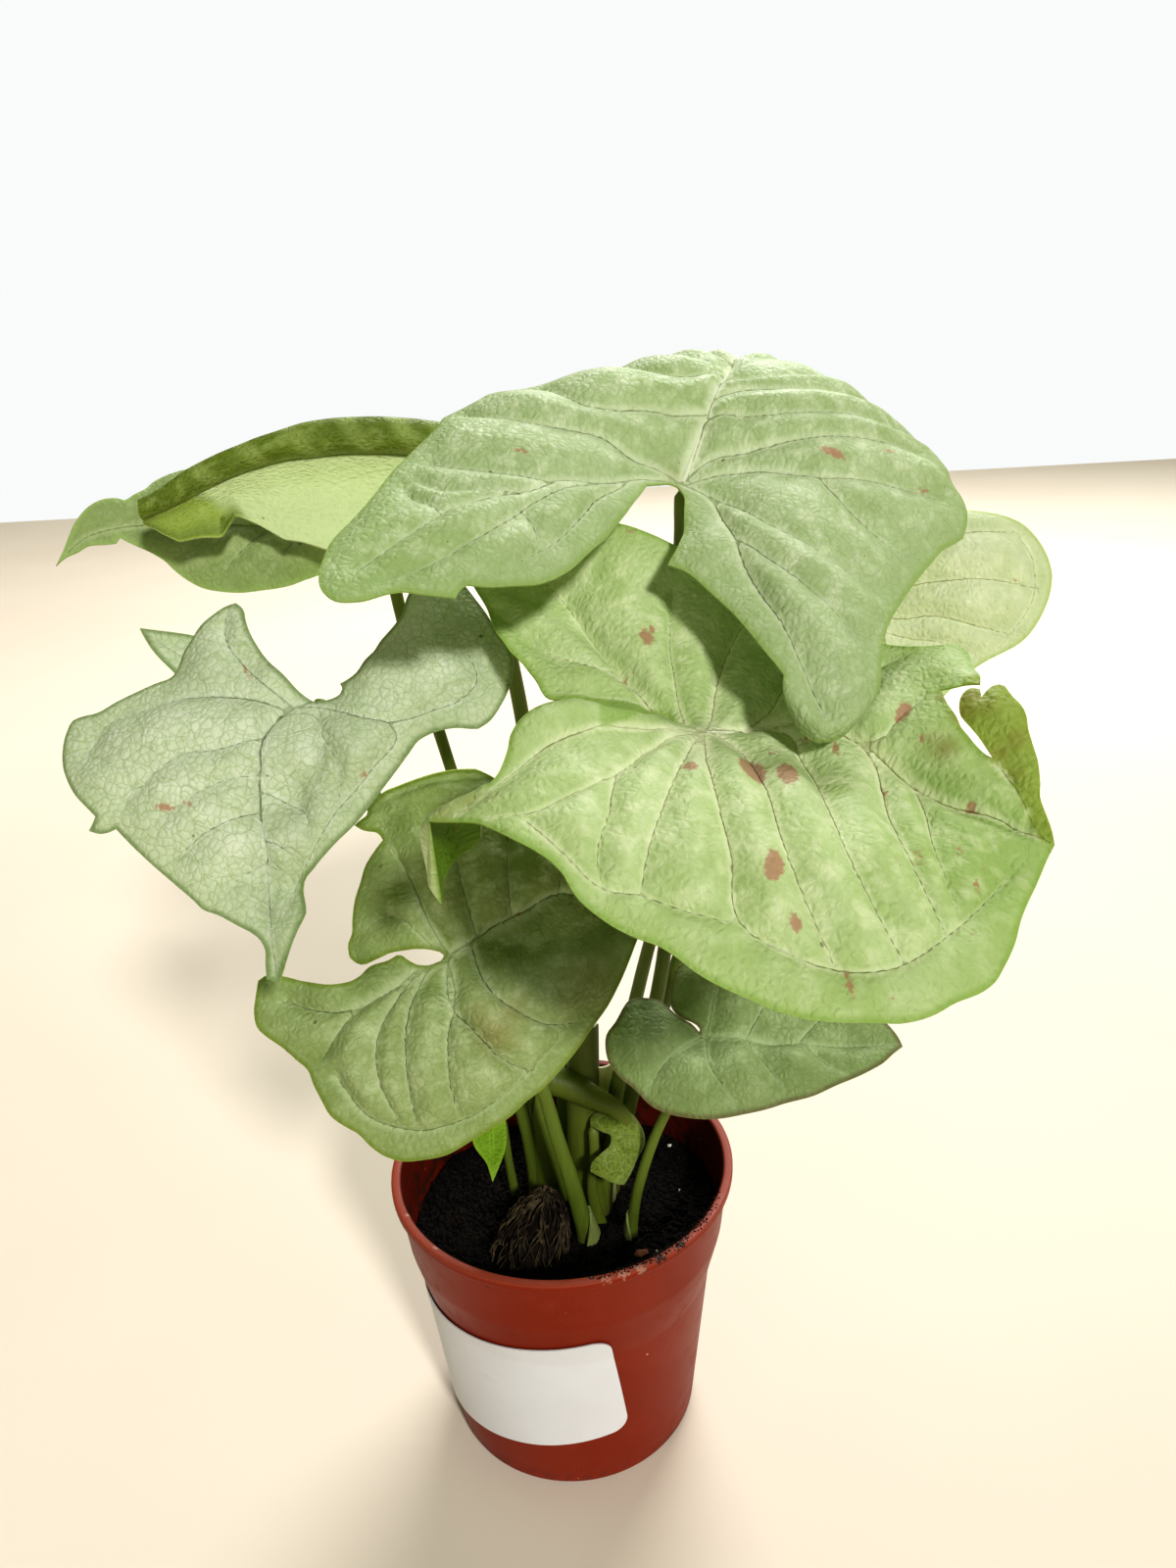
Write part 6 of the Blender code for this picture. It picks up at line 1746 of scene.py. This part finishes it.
def build_soil():
    """The soil, the root clump and what lies on them."""
    peat = earth_finish("peat", (6, 4, 3), (20, 14, 9))
    crumb_light = earth_finish("peat crumbs", (14, 10, 7), (40, 29, 19))
    bark = earth_finish("bark chip", (80, 46, 26), (128, 84, 54), 0.8, 500.0, 0.0002)
    perlite = earth_finish("perlite", (206, 202, 192), (232, 230, 224), 0.85, 900.0, 0.0002)
    core = earth_finish("root clump", (16, 12, 8), (42, 33, 22))
    root = earth_finish("old roots", (30, 23, 15), (96, 82, 60), 0.85, 900.0, 0.0001)
    hair = earth_finish("pale root hairs", (176, 150, 116), (214, 196, 166), 0.7, 900.0, 0.00005)
    make_soil(peat)
    make_clump(core, root)
    grain_round, grain_long = crumb_shape("grain_round", 1.0, 0.9), crumb_shape("grain_long", 5.0, 1.3)
    tree = scatter_tree()
    share = 1.0
    scatter("crumbs_dark", tree, soil_patch(), grain_round, peat, density=1.2e6 * share, smallest=0.5, largest=1.7,
            seed=3)
    scatter("crumbs_brown", tree, soil_patch(), grain_long, crumb_light, density=0.7e6 * share, smallest=0.35,
            largest=1.3, seed=8)
    scatter("crumbs_rim", tree, rim_patch(), grain_round, crumb_light, density=14e6 * share, smallest=0.12,
            largest=0.55, seed=4)
    for grain in (grain_round, grain_long):
        bpy.data.objects.remove(grain)
    for i, (x, y, size) in enumerate(PERLITE):
        make_chip("perlite_%d" % (i + 1), (x, y, soil_height(x, y) + 0.3 * size), (size, size * 0.8, size * 0.7),
                  (20 * i, 35 * i, 50 * i), perlite, i + 1.0)
    x, y = BARK_PLACE
    make_chip("bark_chip", (x, y, soil_height(x, y) + 0.8), (3.2, 1.8, 0.9), (10, 15, 25), bark, 4.0)
    make_hairs(hair)


def rim_patch():
    """The front right of the lip, where soil was spilt."""
    places, weights = [], []
    steps, rings = 60, 4
    for i in range(steps + 1):
        turn = math.radians(-88 + 66 * i / steps)
        for j in range(rings + 1):
            radius = RIM_RADIUS - 2.1 + 1.7 * j / rings
            places.append((radius * math.cos(turn), radius * math.sin(turn), POT_HEIGHT - 0.1))
            weights.append(max(0.0, math.sin(math.pi * i / steps)) * (1 - 0.5 * j / rings))
    faces = grid_faces(np.arange(len(places)).reshape(steps + 1, rings + 1))
    return patch(places, faces, weights)


def build_studio():
    """Camera, soft lights and a plain pale floor."""
    camera = linked("camera", bpy.data.cameras.new("camera"))
    yaw, pitch, roll = (math.radians(angle) for angle in (CAMERA_YAW, CAMERA_PITCH, CAMERA_ROLL))
    ahead = Vector((math.sin(yaw) * math.cos(pitch), math.cos(yaw) * math.cos(pitch), math.sin(pitch)))
    level = Vector((math.cos(yaw), -math.sin(yaw), 0))
    upright = level.cross(ahead)
    right = math.cos(roll) * level + math.sin(roll) * upright
    up = math.cos(roll) * upright - math.sin(roll) * level
    camera.matrix_world = Matrix.Translation(CAMERA_PLACE) @ Matrix((right, up, -ahead)).transposed().to_4x4()
    camera.data.sensor_fit = "VERTICAL"
    camera.data.sensor_height = 36
    camera.data.lens = CAMERA_LENS
    camera.data.clip_start = 0.01
    scene = bpy.context.scene
    scene.camera = camera
    sun = add_light("key", "SUN", SUN_STRENGTH)
    sun.data.angle = 0.12
    sun.rotation_euler = Vector(SUN_DIRECTION).to_track_quat("-Z", "Y").to_euler()
    add_glow("wall glow", (0.35, 1.0, 1.05), (0, 0, 0.15), 19.5)
    add_glow("front glow", (-0.9, -1.0, 0.6), (0, 0, 0.12), 1.5)
    scene.world = bpy.data.worlds.new("studio")
    scene.world.use_nodes = True
    tree = scene.world.node_tree
    background = tree.nodes["Background"].inputs
    seen = node(tree, "ShaderNodeLightPath").outputs["Is Camera Ray"]
    sky = node(tree, "ShaderNodeCombineColor", {0: 0.95, 1: 0.96, 2: ramp(tree, seen, 0.0, 1.0, 0.62, 0.96)})
    feed(tree, background["Color"], sky.outputs[0])
    feed(tree, background["Strength"], ramp(tree, seen, 0.0, 1.0, 0.14, 0.84))
    scene.view_settings.view_transform = "Standard"
    scene.view_settings.look = "Medium High Contrast"
    floor_mesh = bpy.data.meshes.new("floor")
    floor_mesh.from_pydata([(-3, -2, 0), (3, -2, 0), (3, 1.5, 0), (-3, 1.5, 0)], [], [(0, 1, 2, 3)])
    floor_mesh.materials.append(floor_finish())
    linked("floor", floor_mesh)


def add_light(name, kind, power):
    """A lamp of one kind."""
    light = bpy.data.lights.new(name, kind)
    light.energy = power
    return linked(name, light)


def add_glow(name, place, target, power):
    """A large soft round lamp that faces a target."""
    lamp = add_light(name, "AREA", power)
    lamp.data.shape = "DISK"
    lamp.data.size = 0.9
    lamp.location = place
    lamp.rotation_euler = (Vector(target) - Vector(place)).to_track_quat("-Z", "Y").to_euler()


build_studio()
build_leaves()
build_stems()
build_pot()
build_soil()
